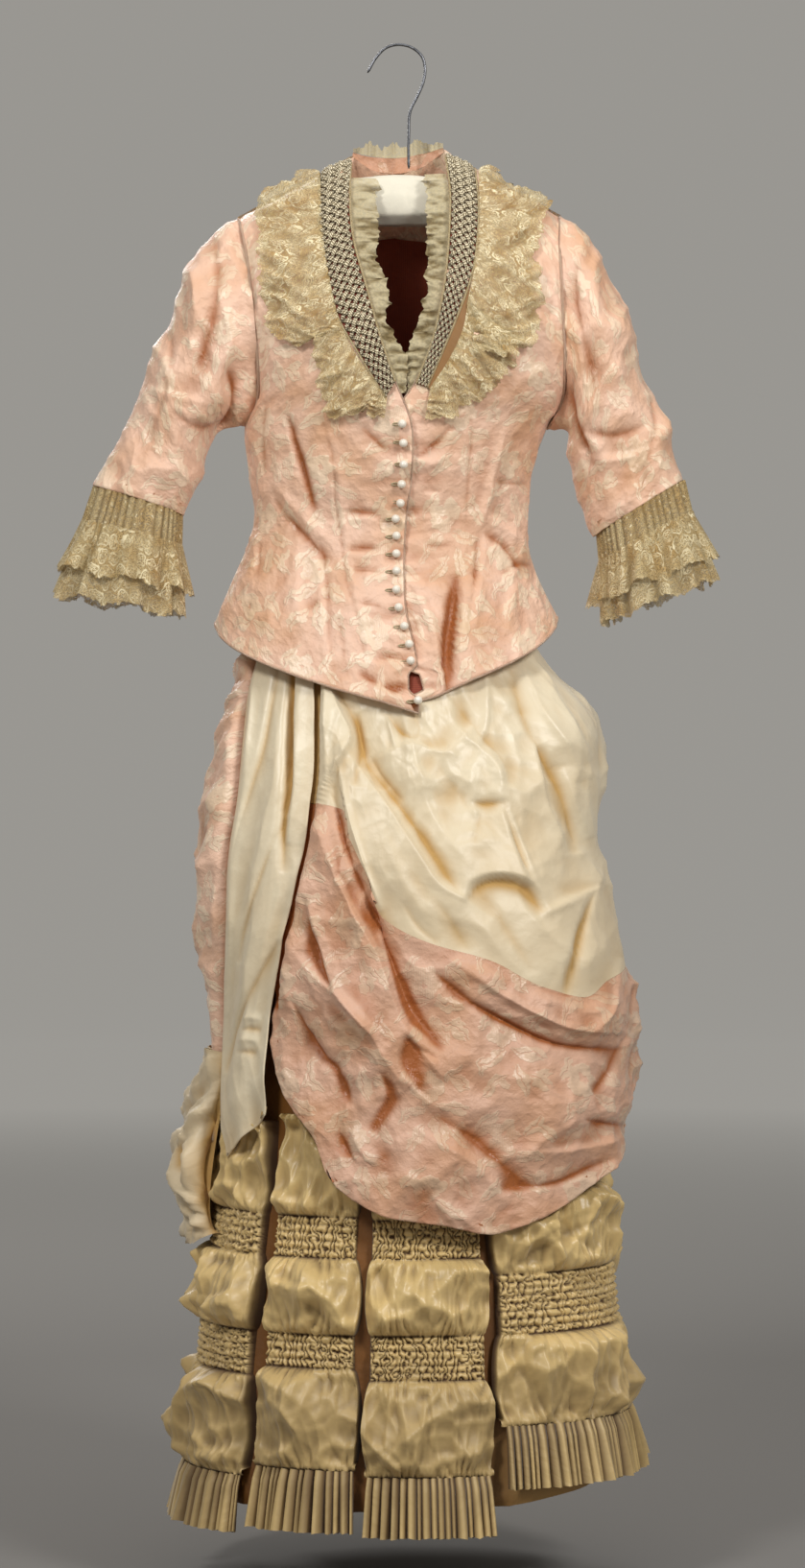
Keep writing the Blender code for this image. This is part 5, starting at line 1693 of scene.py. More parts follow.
def lace_lengths(grid, closed=False):
    """UV in metres: lengths along the free last row, and in from it."""
    edge = arc_lengths(grid, 1, closed)[-1:]
    down = arc_lengths(grid, 0)
    inward = down[-1:] - down
    if closed:
        inward = np.concatenate([inward, inward[:, :1]], 1)
    return np.stack(np.broadcast_arrays(edge, inward), -1) * MM


def build_cuffs():
    """The net and the two tiers of lace of each cuff: cones with flutes that grow toward the free edge, as a
    sum of four waves round the ring."""
    for side, cone in CUFFS.items():
        for tier, (name, start, end, first, last, flute) in enumerate(CUFF_TIERS):
            columns, rows = (260, 34) if tier else (360, 22)
            turns = np.linspace(0, 2 * np.pi, columns, endpoint=False)
            upper, lower = (ellipse(row, turns) for row in cone)
            fall = shares_down(rows)
            share = start + (end - start) * fall
            rings = upper + (lower - upper) * share[..., None]
            draw = np.random.default_rng(40 + tier + 10 * (side == "left"))
            count, tall = np.transpose(CUFF_WAVES)[..., None]
            wave = (tall * np.sin(count * turns + draw.uniform(0, 6.3, len(CUFF_WAVES))[:, None])).sum(0)
            gather = 1 - 2 * np.abs(np.sin(0.5 * (34 + 6 * tier) * turns + 1.2 * np.sin(5 * turns)))
            heights = first + (last - first) * fall + flute * fall**0.8 * wave
            if tier:
                heights = heights - 0.9 * gather * (1 - fall) ** 2
            else:
                heights = heights - 1.5 * gather
            if side == "left":
                rings, heights = rings[:, ::-1], heights[:, ::-1]
            grid = moved_out(rings, heights, True)
            grid = grid + np.stack([0 * heights, 0 * heights, 3.0 * fall * np.sin(7 * turns + tier)], -1)
            # painted shade in the hollows of the flutes, over a fixed 0.22 that makes the cuffs browner all
            # over
            grid = shaded(grid, np.clip(0.22 + hollows(heights, 4, 4.0 if tier else 2.4), 0, 1))
            made = finish(bordered_lace if tier else spotted_net)
            uv = lace_lengths(grid, True)
            cloth(f"{name}_ruffle_{side}", grid, made, [f"{name}_{side}"], True, uv)


def strip(form, inner, outer, rows, columns):
    """A grid on a form between two paths of the elevation, and its normals: rows run from the inner path to
    the outer one."""
    ends = np.linspace(0, 1, columns + 1)
    inner, outer = along(inner, ends), along(outer, ends)
    places = inner + (outer - inner) * np.linspace(0, 1, rows + 1)[:, None, None]
    row, column = located(form, places)
    return sample(form, row, column), unit(sample(normals(form), row, column))


def build_collar():
    """Two tiers of lace beside each braid, rippling more toward the free edge, and one round the back."""
    made = finish(bordered_lace)
    for side, tiers in COLLAR.items():
        form = front_form(side, 120, 60)
        for tier, (inner, outer) in zip(("upper", "lower"), tiers):
            ends = np.linspace(0, 1, 111)
            frayed = along(outer, ends)
            rough = sum(depth * crumpled(frayed, spacing, seed) for spacing, depth, seed in FRAYING)
            frayed = frayed + unit(frayed - along(inner, ends)) * rough[:, None]
            grid, out = strip(form, inner, frayed, 34, 110)
            share = shares_down(34)
            run = shares_across(110)
            seed = 51 + (side == "left") + 2 * (tier == "lower")
            ripple = 1.8 * crumpled(own_places(grid), (15, 34), seed)
            flute = np.sin(2 * np.pi * (COLLAR_FLUTES * run + 0.4 * np.sin(5 * run + seed)))
            raised = share**0.7 * (FLUTE_LIFT + FLUTE_HEIGHT * flute)
            heights = COLLAR_LIFTS[tier] + raised + 2.2 * share**0.4 * ripple
            heights = np.maximum(heights, 3.4)
            grid = grid + out * heights[..., None]
            # painted shade in the hollows of the flutes and ripples
            grid = shaded(grid, hollows(heights, 5, 5.0))
            if side == "left":
                grid = grid[:, ::-1]
            nodes, rests = [f"collar_lace_{tier}_{side}"], [f"front_{side}"]
            cloth(f"lace_{tier}_{side}", grid, made, nodes, uv=lace_lengths(grid))
        # brown strips between braid and lace, partly painted shadow
        for inner, outer in SHADOW_GAPS[side]:
            grid, out = strip(form, inner, outer, 6, 30)
            grid = (grid + 2.8 * out)[:, :: 1 if side == "right" else -1]
            surface(f"gap_{side}", shaded(grid, 0.3), finish(brown_cotton))
    grid = back_form(60, 60)[:14]
    share = shares_down(13)
    heights = 4.2 + share * (2.2 + 1.6 * wave_field(grid, 30, 57))
    # painted shade in the hollows of the ripples
    grid = shaded(moved_out(grid, heights), hollows(heights, 3, 4.0))
    cloth("lace_back", grid, made, ["collar_lace_back"], uv=lace_lengths(grid))


def zigzag(share):
    """A wave of straight lines between -0.5 and 0.5."""
    return np.abs((share % 1) * 2 - 1) - 0.5


def build_braids():
    """The plait down each front edge: every strand of two cords runs from side to side in straight lines, a
    share of a turn behind the one before, and goes over and under the strands that it meets."""
    strands = sizes().braid_strands
    for side, (inner, outer) in BRAIDS.items():
        form = front_form(side, 120, 60)
        grid, out = strip(form, inner, outer, 12, 130)
        run = arc_lengths(grid[6:7], 1)[0]
        bed = np.concatenate([grid, out], -1)
        bulge = np.linspace(-1, 1, 13)[:, None]
        bed[..., :3] += out * (PLAIT_LIFT - 1.2 * bulge**2)[..., None]
        steps = int(run[-1] / 2.0)
        s = np.linspace(0, run[-1], steps)
        column = np.interp(s, run, np.arange(len(run)))
        width = np.interp(s, run, np.linalg.norm(grid[-1] - grid[0], axis=-1))
        narrow = np.clip(width / (sizes().braid_width / MM), 0.5, 1.1)
        grids = []
        for strand in range(strands):
            turn = s / PLAIT_PERIOD + strand / strands
            across = zigzag(turn)
            way = np.where((turn % 1) < 0.5, 1, -1)
            over = way * np.cos(np.pi * strands * across)
            for apart in (-0.7, 0.7):
                place = np.clip((across * STRAND_SPAN + 0.5 + 0.036 * apart) * 12, 0, 12)
                spot = sample(bed, place, np.clip(column + 0.38 * apart * way, 0, 130))
                rise = STRAND_RISE * over
                cord = tube(spot[:, :3] + spot[:, 3:] * rise[:, None], CORD_RADIUS, 6, narrow)
                # painted shade where a strand goes under another
                grids.append(shaded(cord, np.clip(0.38 - over, 0, 0.9)[:, None]))
        plait = placed(f"plait_{side}", tubes_mesh(f"plait_{side}", grids), finish(twisted_cord))
        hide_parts(f"braid_{side}")
        # a dark ground under the plait, seen between its strands: partly painted shadow
        ground = (bed[..., :3] - 1.9 * out)[:, :: 1 if side == "right" else -1]
        surface(f"plait_shadow_ground_{side}", ground, finish(dark_lining))
        edges = [sample(bed, np.full(steps, place), column) for place in (0.0, 12.0)]
        cords = [tube(spot[:, :3] - 0.4 * spot[:, 3:], 1.2, 8) for spot in edges]
        placed(f"plait_edges_{side}", tubes_mesh("edges", cords), finish(bordered_lace))


def build_neck():
    """The stand band round the back of the neck, and the gauze frills at the neck's edges: strips whose folds
    are sums of waves that grow to a ragged free edge."""
    middle = (BACK_MIDDLE_X, *BACK_MIDDLE[0][:2])
    foot = np.array([*BACK_NECK_LEFT[::-1], middle, *BACK_NECK_RIGHT], float) + BUTT * UP
    shares = np.linspace(0, 1, 71)
    foot_line = along(foot, shares)
    tall = smooth(np.linspace(0, 1, 5), BAND_HEIGHTS, shares)[None, :, None]
    rise = np.linspace(1, 0, 13)[:, None, None]
    band = foot_line + rise * tall * UP
    band = creased("band", band, 0.8 * np.sin(np.pi * rise[..., 0]), reach=3)
    # half of the brocade's shade colour all over, a tan tone for the band, over the painted shade of its
    # hollows
    band[..., 3] = np.clip(band[..., 3] + 0.5, 0, 1)
    cloth("band", band, finish(brocade_silk), ["neck_band"])

    gauze = finish(silk_gauze)
    fine = np.linspace(0, 1, 181)
    base = along(foot + np.array(BAND_HEIGHTS)[:, None] * UP, fine)
    rise = np.linspace(1, 0, 12)[:, None]
    length = stretched_out(arc_lengths(base[None], 1)[0])
    ragged = 0.8 + 0.3 * crumpled(length, 14, 63)[None] + 0.16 * crumpled(length, 5, 64)[None]
    ragged = ragged * np.sin(np.pi * np.clip(fine, 0.02, 0.98))[None] ** 0.35
    ruffle = 2.4 * crumpled(length, 9, 65)[None] + 1.6 * wave_field(base, 22, 62)[None]
    grid = base + UP * (rise * FRILL_HEIGHT * ragged)[..., None]
    grid = grid + REARWARD * (rise**0.7 * ruffle - 2 * rise)[..., None]
    # painted shade where the ruffle falls back
    grid = shaded(grid, np.clip(-ruffle / 6, 0, 0.7) * np.ones_like(rise))
    cloth("frill_back", grid, gauze, ["neck_frill_back"])

    for side, way in (("right", 1), ("left", -1)):
        form = front_form(side, 200, 40)
        edge = moved_out(form, -2.2)[14:, -1 if side == "right" else 0]
        edge = refined(edge[edge[:, 2] > -372], 190)
        seen = elevation(edge)
        length = stretched_out(arc_lengths(edge[None], 1)[0])
        out = shares_down(14)
        end = np.interp(seen[:, 1], *np.transpose(FRILL_EDGES[side])[::-1])
        ragged = 2.4 * crumpled(length, 13, 66) + 1.2 * crumpled(length, 4, 67)
        full = np.maximum(way * (end - seen[:, 0]) + ragged, 4)
        ruffle = 0.9 * crumpled(length, 7, 68) + 1.3 * wave_field(edge, 24, 70)
        fan = 3.4 * crumpled(np.stack(np.broadcast_arrays(length[:, 0], 20 * out), -1), (8, 18), 71)
        back = 5 * out + out**0.5 * ruffle + out**0.3 * fan
        grid = edge + np.array([way, 0, 0.0]) * (out * full)[..., None]
        grid = grid + REARWARD * back[..., None]
        grid = grid + UP * (out**0.8 * 1.8 * wave_field(edge, 13, 69))[..., None]
        # painted shade where the frill folds back
        grid = shaded(grid, np.clip((back - 5 * out) / 3.5, 0, 0.9))
        grid = grid.swapaxes(0, 1)
        grid = grid if side == "right" else grid[:, ::-1]
        cloth(f"frill_{side}", grid, gauze, [f"neck_frill_{side}"])


def build_buttons():
    """Ball buttons, each a turned profile with a shank, and the worked buttonholes beside them."""
    radius = sizes().button_radius / MM
    form = front_cloth("right")[..., :3]
    facing = normals(form)
    angle = np.linspace(0.02, np.pi - 0.5, 13)
    profile = np.stack([radius * np.sin(angle), radius * np.cos(angle)], -1)
    profile = np.concatenate([profile, [(wide, -radius * deep) for wide, deep in SHANK]])
    turns = np.linspace(0, 2 * np.pi, 20, endpoint=False)
    rims = []
    for number in range(1, BUTTON_COUNT + 1):
        low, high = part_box(f"button_{number:02d}")
        centre = (np.array(low) + high) / 2 / MM
        row, column = located(form, elevation(centre)[None])
        out = unit(sample(facing, row, column)[0])
        spot = sample(form, row, column)[0]
        first = unit(np.cross(out, UP))
        second = np.cross(out, first)
        ring = np.cos(turns)[:, None] * first + np.sin(turns)[:, None] * second
        centre = spot + out * radius * 1.02
        grid = centre + profile[:, :1, None] * ring + profile[:, 1:, None] * out
        piece = placed(f"pearl_{number:02d}", tubes_mesh("pearl", [grid[::-1]]), finish(pearl))
        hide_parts(f"button_{number:02d}")
        loop = np.linspace(0, 2 * np.pi, 22)[:, None]
        rim = spot - BUTTONHOLE_AWAY * first * (1 if first[0] > 0 else -1) + out * 0.6
        wide, tall = BUTTONHOLE
        rims.append(tube(rim + wide * np.cos(loop) * first + tall * np.sin(loop) * second, 0.7, 6))
    placed("buttonholes", tubes_mesh("buttonholes", rims), finish(silk_gauze))


def foundation_points(turns, z, valleys=0.0):
    """Points of the foundation: its form, drawn in between two panels by a valley that deepens to the hem."""
    depth = VALLEY_DEPTH * np.clip((VALLEY_TOP - z) / (VALLEY_TOP - FOUNDATION[-1][0]), 0, 1) * valleys
    points = on_form(FOUNDATION, turns, z)
    return points - unit(points * (1, 1, 0)) * np.asarray(depth)[..., None]


def build_foundation():
    """The brown skirt that carries the panels, with soft flutes between them."""
    knots, valleys = [], []
    for number, row in enumerate(PANELS):
        after = PANELS[(number + 1) % len(PANELS)][0] + (360 if number + 1 == len(PANELS) else 0)
        knots += [row[0], row[1], (row[1] + after) / 2]
        valleys += [0.0, 0.0, 1.0]
    turns = np.linspace(knots[0], knots[0] + 360, 156, endpoint=False)
    deep = np.interp(turns, knots + [knots[0] + 360], valleys + [0.0])
    share = shares_down(84)
    hem = FOUNDATION[-1][0] + np.interp(turns, *np.transpose(HEM_RISE))
    z = FOUNDATION[0][0] + (hem - FOUNDATION[0][0]) * share
    grid = foundation_points(turns[None], z, deep[None])
    soft = 2.5 * wave_field(grid, (70, 70, 300), 71)
    grid = moved_out(grid, soft - 2.5, True)
    faded = eased(turns, 20, 34) * (1 - eased(turns, 96, 112)) * eased(-grid[..., 2], 1405, 1430)
    grid = turned_in(shaded(grid, faded), "b", closed=True)
    cloth("foundation", grid, finish(brown_cotton), ["skirt_foundation"], closed=True)


def ridged(phase):
    """Rounded ridges with tight valleys between them, from 0 to 1."""
    return np.abs(np.sin(np.pi * phase)) ** 0.8


def panel_grid(number, row, coarse):
    """A shirred panel. In a band the cloth gathers into beads between rows of stitches; in a puff it stands
    out as sin ** 0.6 of the share down and sqrt(sin) of the share across, and its gathers widen and fade
    with distance from the bands."""
    start, end, top = row[:3]
    zones = []
    for upper, lower, fullness in zip(row[2:], row[3:], CROSSED_FULLNESS if number == CROSSED else FULLNESS):
        tall = upper - lower
        count = max(int(tall / ((PUFF_ROW if fullness else BAND_ROW) * coarse)), 6)
        share = np.linspace(0, 1, count + 1)[bool(zones) :]
        none = np.zeros(len(share))
        if fullness:
            shape = np.sin(np.pi * np.clip(share, 0, 0.93 if lower == row[7] else 1)) ** 0.6
            parts = (none, fullness * shape, np.minimum(share * tall, (1 - share) * tall), none)
        else:
            stitches = max(round(tall / STITCH_PITCH), 2)
            parts = (ridged(share * stitches), none, none, share * stitches + 0.001)
        zones.append(np.stack([upper + (lower - upper) * share, *parts]))
    z, bead, full, near, rows_done = np.concatenate(zones, axis=1)[..., None]
    middle = foundation_points(np.linspace(start, end, 40)[None], z)
    width = arc_lengths(middle, 1)[:, -1].mean()
    columns = int(width / (PANEL_COLUMN * coarse))
    shares = shares_across(columns)
    turns = start + (end - start) * shares + PUFF_SPREAD * full * (2 * shares - 1)
    base = foundation_points(turns, z)
    rounded = np.sqrt(np.sin(np.pi * np.clip(shares, PUFF_EDGE, 1 - PUFF_EDGE)))
    run = shares * width
    wander = wave_field(base, (40, 40, 90), 81 + number)
    pitch = sizes().gather_pitch / MM * (1 if coarse == 1 else 2) * (1.7 if number in (1, CROSSED) else 1.1)
    stitch = np.floor(rows_done)
    stagger = 0.5 * (stitch % 2) + 0.35 * np.sin(2.4 * stitch)
    loose = 0.5 * wave_field(base, (13, 13, 9), 83 + number)
    fine = ridged(run / pitch + 0.5 * wander + loose + stagger * (rows_done > 0))
    plain = ridged(run / pitch + 0.5 * wander + loose)
    mid = ridged(run / WIDE_PITCH + 0.7 * wander)
    band = near == 0
    gathered = np.where(band, BAND_GATHERS * fine * (0.5 + 0.5 * bead) + 0.2, 0)
    gathered += np.where(band, 0, FINE_GATHERS * plain * np.exp(-near / FINE_REACH))
    faded = (1 - np.exp(-near / 4)) * np.exp(-near / WIDE_REACH)
    gathered += np.where(band, 0, WIDE_GATHERS * mid * faded)
    flat = np.stack(np.broadcast_arrays(run, top - z), -1)
    if coarse == 1:
        placed_folds = fold_heights(elevation(base), PANEL_FOLDS) * front_facing(base)
    else:
        placed_folds = fold_heights(flat, HIDDEN_FOLDS)
    slack = np.clip(near / 12, 0, 1)
    crumples = (d * crumpled(flat, spacing, seed + number) for spacing, d, seed in PUFF_CRUMPLES)
    crush = slack * sum(crumples)
    strength = PLACED_SHARE * sizes().fold_strength
    heights = gathered + crush + strength * placed_folds * (0.25 + 0.75 * slack)
    ruffle = (3 + 9 * mid) * (1 - eased(top - z, 3, 17))
    out = PANEL_LIFT + PUFF_DEPTH * full * rounded + np.clip(heights + ruffle, -9, None)
    sides = np.clip(np.minimum(run, width - run) / 2.5, 0, 1)
    sides = np.where(np.arange(len(z))[:, None] < len(z) - 3, sides, 1)
    grid = moved_out(base, (np.maximum(out, 2.0) + 5) * sides - 5)
    # painted shade: in the hollows of the gathers and crumples, more toward the bottom of the skirt, and full
    # on the walls that close the panel's sides, so they read as dark gaps
    shade = hollows(heights, 4, np.where(band, 2.0, 7.0)) + 0.24 * eased(-z, 1330, 1400)
    return shaded(grid, np.clip(np.maximum(shade, 1 - sides**3), 0, 1))


def pleated(number, row, edge):
    """A knife-pleated flounce: each pleat runs across, folds back under the next and hangs straight from the
    panel's lower edge, flaring a little to its hem."""
    pleats, hem = row[-2:]
    edge = np.stack([softened(axis[None], 7)[0] for axis in refined(edge, 80).T], -1)
    share = shares_down(10)
    base = edge[None] + UP * ((hem - pleats) * share - BUTT)[..., None]
    flare = FLOUNCE_FLARE * share + 1.2 * share * wave_field(base, (60, 60, 200), 111 + number)
    base = moved_out(base, flare + 2.6 * eased(share, 0, 0.2))
    width = arc_lengths(base, 1)[0, -1]
    count = int(width / (sizes().pleat_pitch / MM))
    draw = np.random.default_rng(121 + number)
    widths = draw.uniform(*PLEAT_WIDTHS, count)
    starts = np.concatenate([[0], np.cumsum(widths)])
    starts, widths = starts * count / starts[-1], widths * count / starts[-1]
    across = (starts[:-1, None] + widths[:, None] * np.array([a for a, _ in PLEAT])).ravel()
    depths = draw.uniform(*PLEAT_DEPTHS, count) * widths
    out = np.tile([b for _, b in PLEAT], count) * np.repeat(depths, len(PLEAT))
    lean = 1.2 * wave_field(base[0, :2], 50, 3).mean() + 1.5 * np.sin(3.1 * share)
    down, column = np.broadcast_arrays(share * 10, np.clip(across / count, 0, 1) * 80)
    spot = sample(base, down, column)
    facing = unit(sample(normals(base), down, column))
    grid = spot + facing * (out * (0.6 + 1.0 * share) + 0.3 * lean)[..., None]
    grid[-1] += UP * draw.uniform(-1.2, 1.2, grid.shape[1])[:, None]
    # painted shade: PLEAT_SHADE across each pleat, a random share for each pleat, and more toward the
    # flounce's top
    shade = np.tile(PLEAT_SHADE, count) + np.repeat(draw.uniform(-0.1, 0.3, count), len(PLEAT))
    return shaded(grid, np.clip(shade[None] + 0.2 * (1 - share), 0, 1))


def build_panels():
    """The seven shirred panels with their flounces."""
    for number, row in enumerate(PANELS, 1):
        grid = panel_grid(number, row, 1 if number <= 4 else 2)
        flounce = pleated(number, row, grid[-1, :, :3])
        gold, name = finish(gold_satin), f"panel_{number}"
        cloth(name, grid, gold, [f"shirred_{name}"])
        cloth(f"flounce_{number}", flounce, gold, [f"pleating_{number}"])


def lifted(outline_grid, lift):
    """A patch of turns and heights laid on the overskirt form and moved out."""
    return moved_out(on_form(DRAPE, outline_grid[..., 0], outline_grid[..., 1]), lift)


def swag(rows, columns, first_row, last_row):
    """How far a drape stands out: most in its middle, least at its edges."""
    down = np.linspace(first_row, last_row, rows + 1)[:, None]
    across = shares_across(columns)
    return DRAPE_LIFT + SWAG_LIFT * np.sin(np.pi * down) ** 1.5 * np.sin(np.pi * across) ** 0.5


def overskirt_edges():
    """The side panel's two edges and the boundary of the front drapes, in turns and heights."""
    outer, inner = turned(DRAPE, SIDE_OUTER), turned(DRAPE, SIDE_INNER)
    beyond = [(SIDE_TURN, SIDE_BOUNDARY_Z), (SEAM_TURN, SEAM_BOUNDARY_Z)]
    return outer, inner, np.concatenate([turned(DRAPE, BOUNDARY), beyond])


def build_side_panel():
    """The cream satin panel that hangs down the wearer's right side."""
    outer, inner, _ = overskirt_edges()
    side = patch([outer[0], inner[0]], [outer[-1], inner[-1]], outer, inner, 64, 260)
    grid = lifted(side, DRAPE_LIFT)
    heights = fold_heights(elevation(grid), SIDE_FOLDS) * front_facing(grid)
    share = shares_across(64)
    down = shares_down(260)
    flutes = 2.2 * np.sin(2 * np.pi * (1.6 * share + 0.5 * down)) * eased(down, 0.1, 0.6)
    heights = heights + flutes + 4 - 9 * eased(down, 0.92, 1.0)
    outer_edge = 1 - eased(share, 0.0, 0.16)
    heights = heights - outer_edge * np.maximum(heights - 1, 0)
    grid = creased("side_panel", grid, heights, 1 - 0.7 * outer_edge)
    grid = turned_in(grid, "blr", depth=8)
    cloth("side_panel", grid, finish(cream_satin), ["drape_side_panel"])


def tucked(grid, heights):
    """A front drape's heights, sunk where it runs under the side panel, and how far it is sunk (0 to 1)."""
    edge = np.interp(-grid[..., 2], *np.transpose([(-z, x) for x, z in SIDE_INNER[:-2]])) + 3.5
    sunk = eased(edge - grid[..., 0], -2.5, 3) * (1 - eased(-grid[..., 2], 985, 1010))
    return heights * (1 - sunk) - 10 * sunk, sunk


def loose_side(grid):
    """How much of its crumples a front drape has: more round the sides, and none at the side seam."""
    across = shares_across(grid.shape[1] - 1)
    return (2.2 - 1.2 * front_facing(grid)) * (1 - eased(across, 0.97, 1.0))


def wrapped_lengths(grid):
    """UV in metres of cloth that wraps the skirt: 3 mm for each degree of turn, and the height."""
    turn = np.degrees(np.arctan2(grid[..., 0], -grid[..., 1]))
    return np.stack([3.0 * turn, grid[..., 2]], -1) * MM


def build_satin_drape():
    """The cream satin drape across the front, down to its boundary with the brocade."""
    columns, rows = 210, 180
    _, _, boundary = overskirt_edges()
    right_edge = turned(DRAPE, np.array(SATIN_RIGHT_EDGE) - (TUCK, 0))
    boundary[0] = right_edge[-1]
    left_edge = [(SEAM_TURN, TOP_Z), (SEAM_TURN, SEAM_BOUNDARY_Z)]
    top = [right_edge[0], (0, TOP_Z), left_edge[0]]
    grid = lifted(patch(top, boundary, right_edge, left_edge, columns, rows), swag(rows, columns, 0, 0.5))
    heights, sunk = tucked(grid, fold_heights(elevation(grid), DRAPE_FOLDS) * front_facing(grid))
    places = wrapped_lengths(grid) / MM
    middle = np.exp(-(((elevation(grid) - (480, 792)) / (85, 75)) ** 2).sum(-1))
    heights = heights + 3.6 * middle * crumpled(places, 44, 143)
    free = (1 - eased(shares_down(rows), 0.9, 1.0)) * (1 - sunk) * loose_side(grid)
    grid = creased("satin_drape", grid, heights, free, places=places)
    # painted shade: deep where the drape sinks under the side panel, and a little more lower down the drape
    low = eased(-grid[..., 2], 700, 900)
    grid[..., 3] = np.clip(np.maximum(grid[..., 3], 0.9 * sunk) + 0.15 * low, 0, 1)
    silk, rests = finish(cream_satin), ["foundation"]
    cloth("satin_drape", grid, silk, ["drape_front_satin"], uv=wrapped_lengths(grid))


def build_brocade_drape():
    """The brocade drape below the satin, down to its hem."""
    columns, rows = 210, 170
    _, _, boundary = overskirt_edges()
    hem = np.concatenate([turned(DRAPE, BROCADE_HEM), [(SIDE_TURN, SIDE_HEM_Z), (SEAM_TURN, SEAM_HEM_Z)]])
    under = TUCK * np.interp(-np.array(BROCADE_RIGHT_EDGE)[:, 1], (785, 960, 1030), (1, 1, 0))
    right_edge = turned(DRAPE, np.array(BROCADE_RIGHT_EDGE) - np.stack([under, 0 * under], -1))
    boundary[0] = right_edge[0]
    left_edge = np.array([(SEAM_TURN, SEAM_BOUNDARY_Z), (SEAM_TURN, SEAM_HEM_Z)])
    grid = lifted(patch(boundary, hem, right_edge, left_edge, columns, rows), swag(rows, columns, 0.5, 1))
    free = eased(shares_down(rows), 0.0, 0.1)
    deeper = 1 + 0.45 * free
    heights, sunk = tucked(grid, deeper * fold_heights(elevation(grid), DRAPE_FOLDS) * front_facing(grid))
    free = free * (1 - sunk) * loose_side(grid)
    grid = creased("brocade_drape", grid, heights, free, places=wrapped_lengths(grid) / MM)
    # painted shade: 0.28 all over, partly the drape's own deeper orange tone and partly the dimmer light low
    # on the skirt; more in the hollows and where it sinks under the side panel
    grid[..., 3] = np.clip(0.28 + 0.9 * grid[..., 3] + 0.6 * sunk, 0, 1)
    grid = turned_in(grid, "bl", depth=12)
    silk, rests = finish(brocade_silk), ["foundation"]
    cloth("brocade_drape", grid, silk, ["drape_front_brocade"], uv=wrapped_lengths(grid))


def build_back_drapery():
    """The brocade drapery over the bustle, and the satin pouf gathered below it."""
    outer, _, _ = overskirt_edges()
    side_edge = outer[:-1] + (360 + SIDE_STEP, 0)
    seam = SEAM_TURN - SEAM_STEP
    seam_edge = [(seam, TOP_Z), (seam, BACK_HEM_Z)]
    top = [seam_edge[0], (BACK_TURN, TOP_Z), side_edge[0]]
    bottom = np.array([seam_edge[-1], (BACK_TURN, BACK_HEM_Z), side_edge[-1]])
    grid = lifted(patch(top, bottom, seam_edge, side_edge, 150, 130), DRAPE_LIFT)
    across = shares_across(150)
    tuck = np.maximum(eased(across, 0.955, 0.985), 0.7 * (1 - eased(across, 0.0, 0.02)))
    heights = fold_heights(own_places(grid), BACK_FOLDS) + 4 - BACK_TUCK * tuck
    grid = creased("back_drapery", grid, heights, 1 - tuck)
    cloth("back_drapery", grid, finish(brocade_silk), ["drape_back_brocade"])

    columns, rows = 190, 90
    top = bottom - (0, BUTT)
    hem = [(seam, POUF_HEM_Z + POUF_HEM_RISE), (BACK_TURN, POUF_HEM_Z), (side_edge[-1][0], POUF_HEM_Z)]
    pouf = patch(top, hem, [top[0], hem[0]], [top[-1], hem[-1]], columns, rows)
    down = shares_down(rows)
    across = shares_across(columns)
    full = np.sin(np.pi * down**POUF_LOW) ** 0.8 * np.sin(np.pi * across) ** 0.4
    grid = lifted(pouf, DRAPE_LIFT + POUF_LIFT * full)
    wander = wave_field(grid, 220, 171)
    gathers = 6.0 * (ridged(13 * across + 0.5 * wander) - 0.5) * np.sin(np.pi * down) ** 0.5
    near_edges = np.exp(-down * 7) + np.exp((down - 1) * 7)
    gathers += 5.0 * (ridged(27 * across + 0.7 * wander) - 0.5) * near_edges
    heights = gathers + 1.5 * fold_heights(elevation(grid), POUF_FOLDS) * eased(-grid[..., 0], 120, 160)
    sunk = np.maximum(eased(across, 0.97, 1.0), 1 - eased(across, 0.0, 0.03))
    sink = POUF_TUCK * sunk - POUF_TUCK_EASED * eased(across, 0.9, 1.0) * (1 - eased(down, 0.15, 0.45))
    grid = creased("pouf", grid, heights - sink, 1 - sunk)
    # 0.22 of the satin's darker colour all over gives the pouf a more golden tone; painted shade in its
    # hollows and on its sunk edges, where it dives under the pieces beside it
    grid[..., 3] = np.clip(0.22 + grid[..., 3] + 0.5 * sunk, 0, 1)
    cloth("pouf", grid, finish(cream_satin), ["drape_back_pouf"])


def build_hook():
    """The hanger's wire hook: one tube along a smooth curve, with rounded ends."""
    shares = np.linspace(0, 1, 90)
    x, z = along(HOOK, shares).T
    path = np.stack([x, PAD_Y * (1 - shares) ** 2, z], -1)
    ends = np.minimum(np.arange(90), np.arange(90)[::-1])
    radii = np.sqrt(1 - (1 - np.clip(ends / 2, 0.05, 1)) ** 2)
    piece = placed("hook", tubes_mesh("hook", [tube(path, HOOK_WIRE, 14, radii)]), finish(drawn_steel))
    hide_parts("hanger_hook")


def pad_mesh():
    """The pad's form: rings round its length, each an ellipse drawn in toward its top."""
    turns = np.linspace(0, 2 * np.pi, 40, endpoint=False)
    x, top, height, depth = refined(PAD, 70).T[..., None]
    y = PAD_Y + (depth - PAD_SHRINK) * np.sin(turns) * (1 - PAD_SQUEEZE * np.cos(turns))
    grid = np.stack([x + 0 * turns, y, top - height + (height - PAD_SHRINK) * np.cos(turns)], -1)
    return tubes_mesh("pad", [grid])


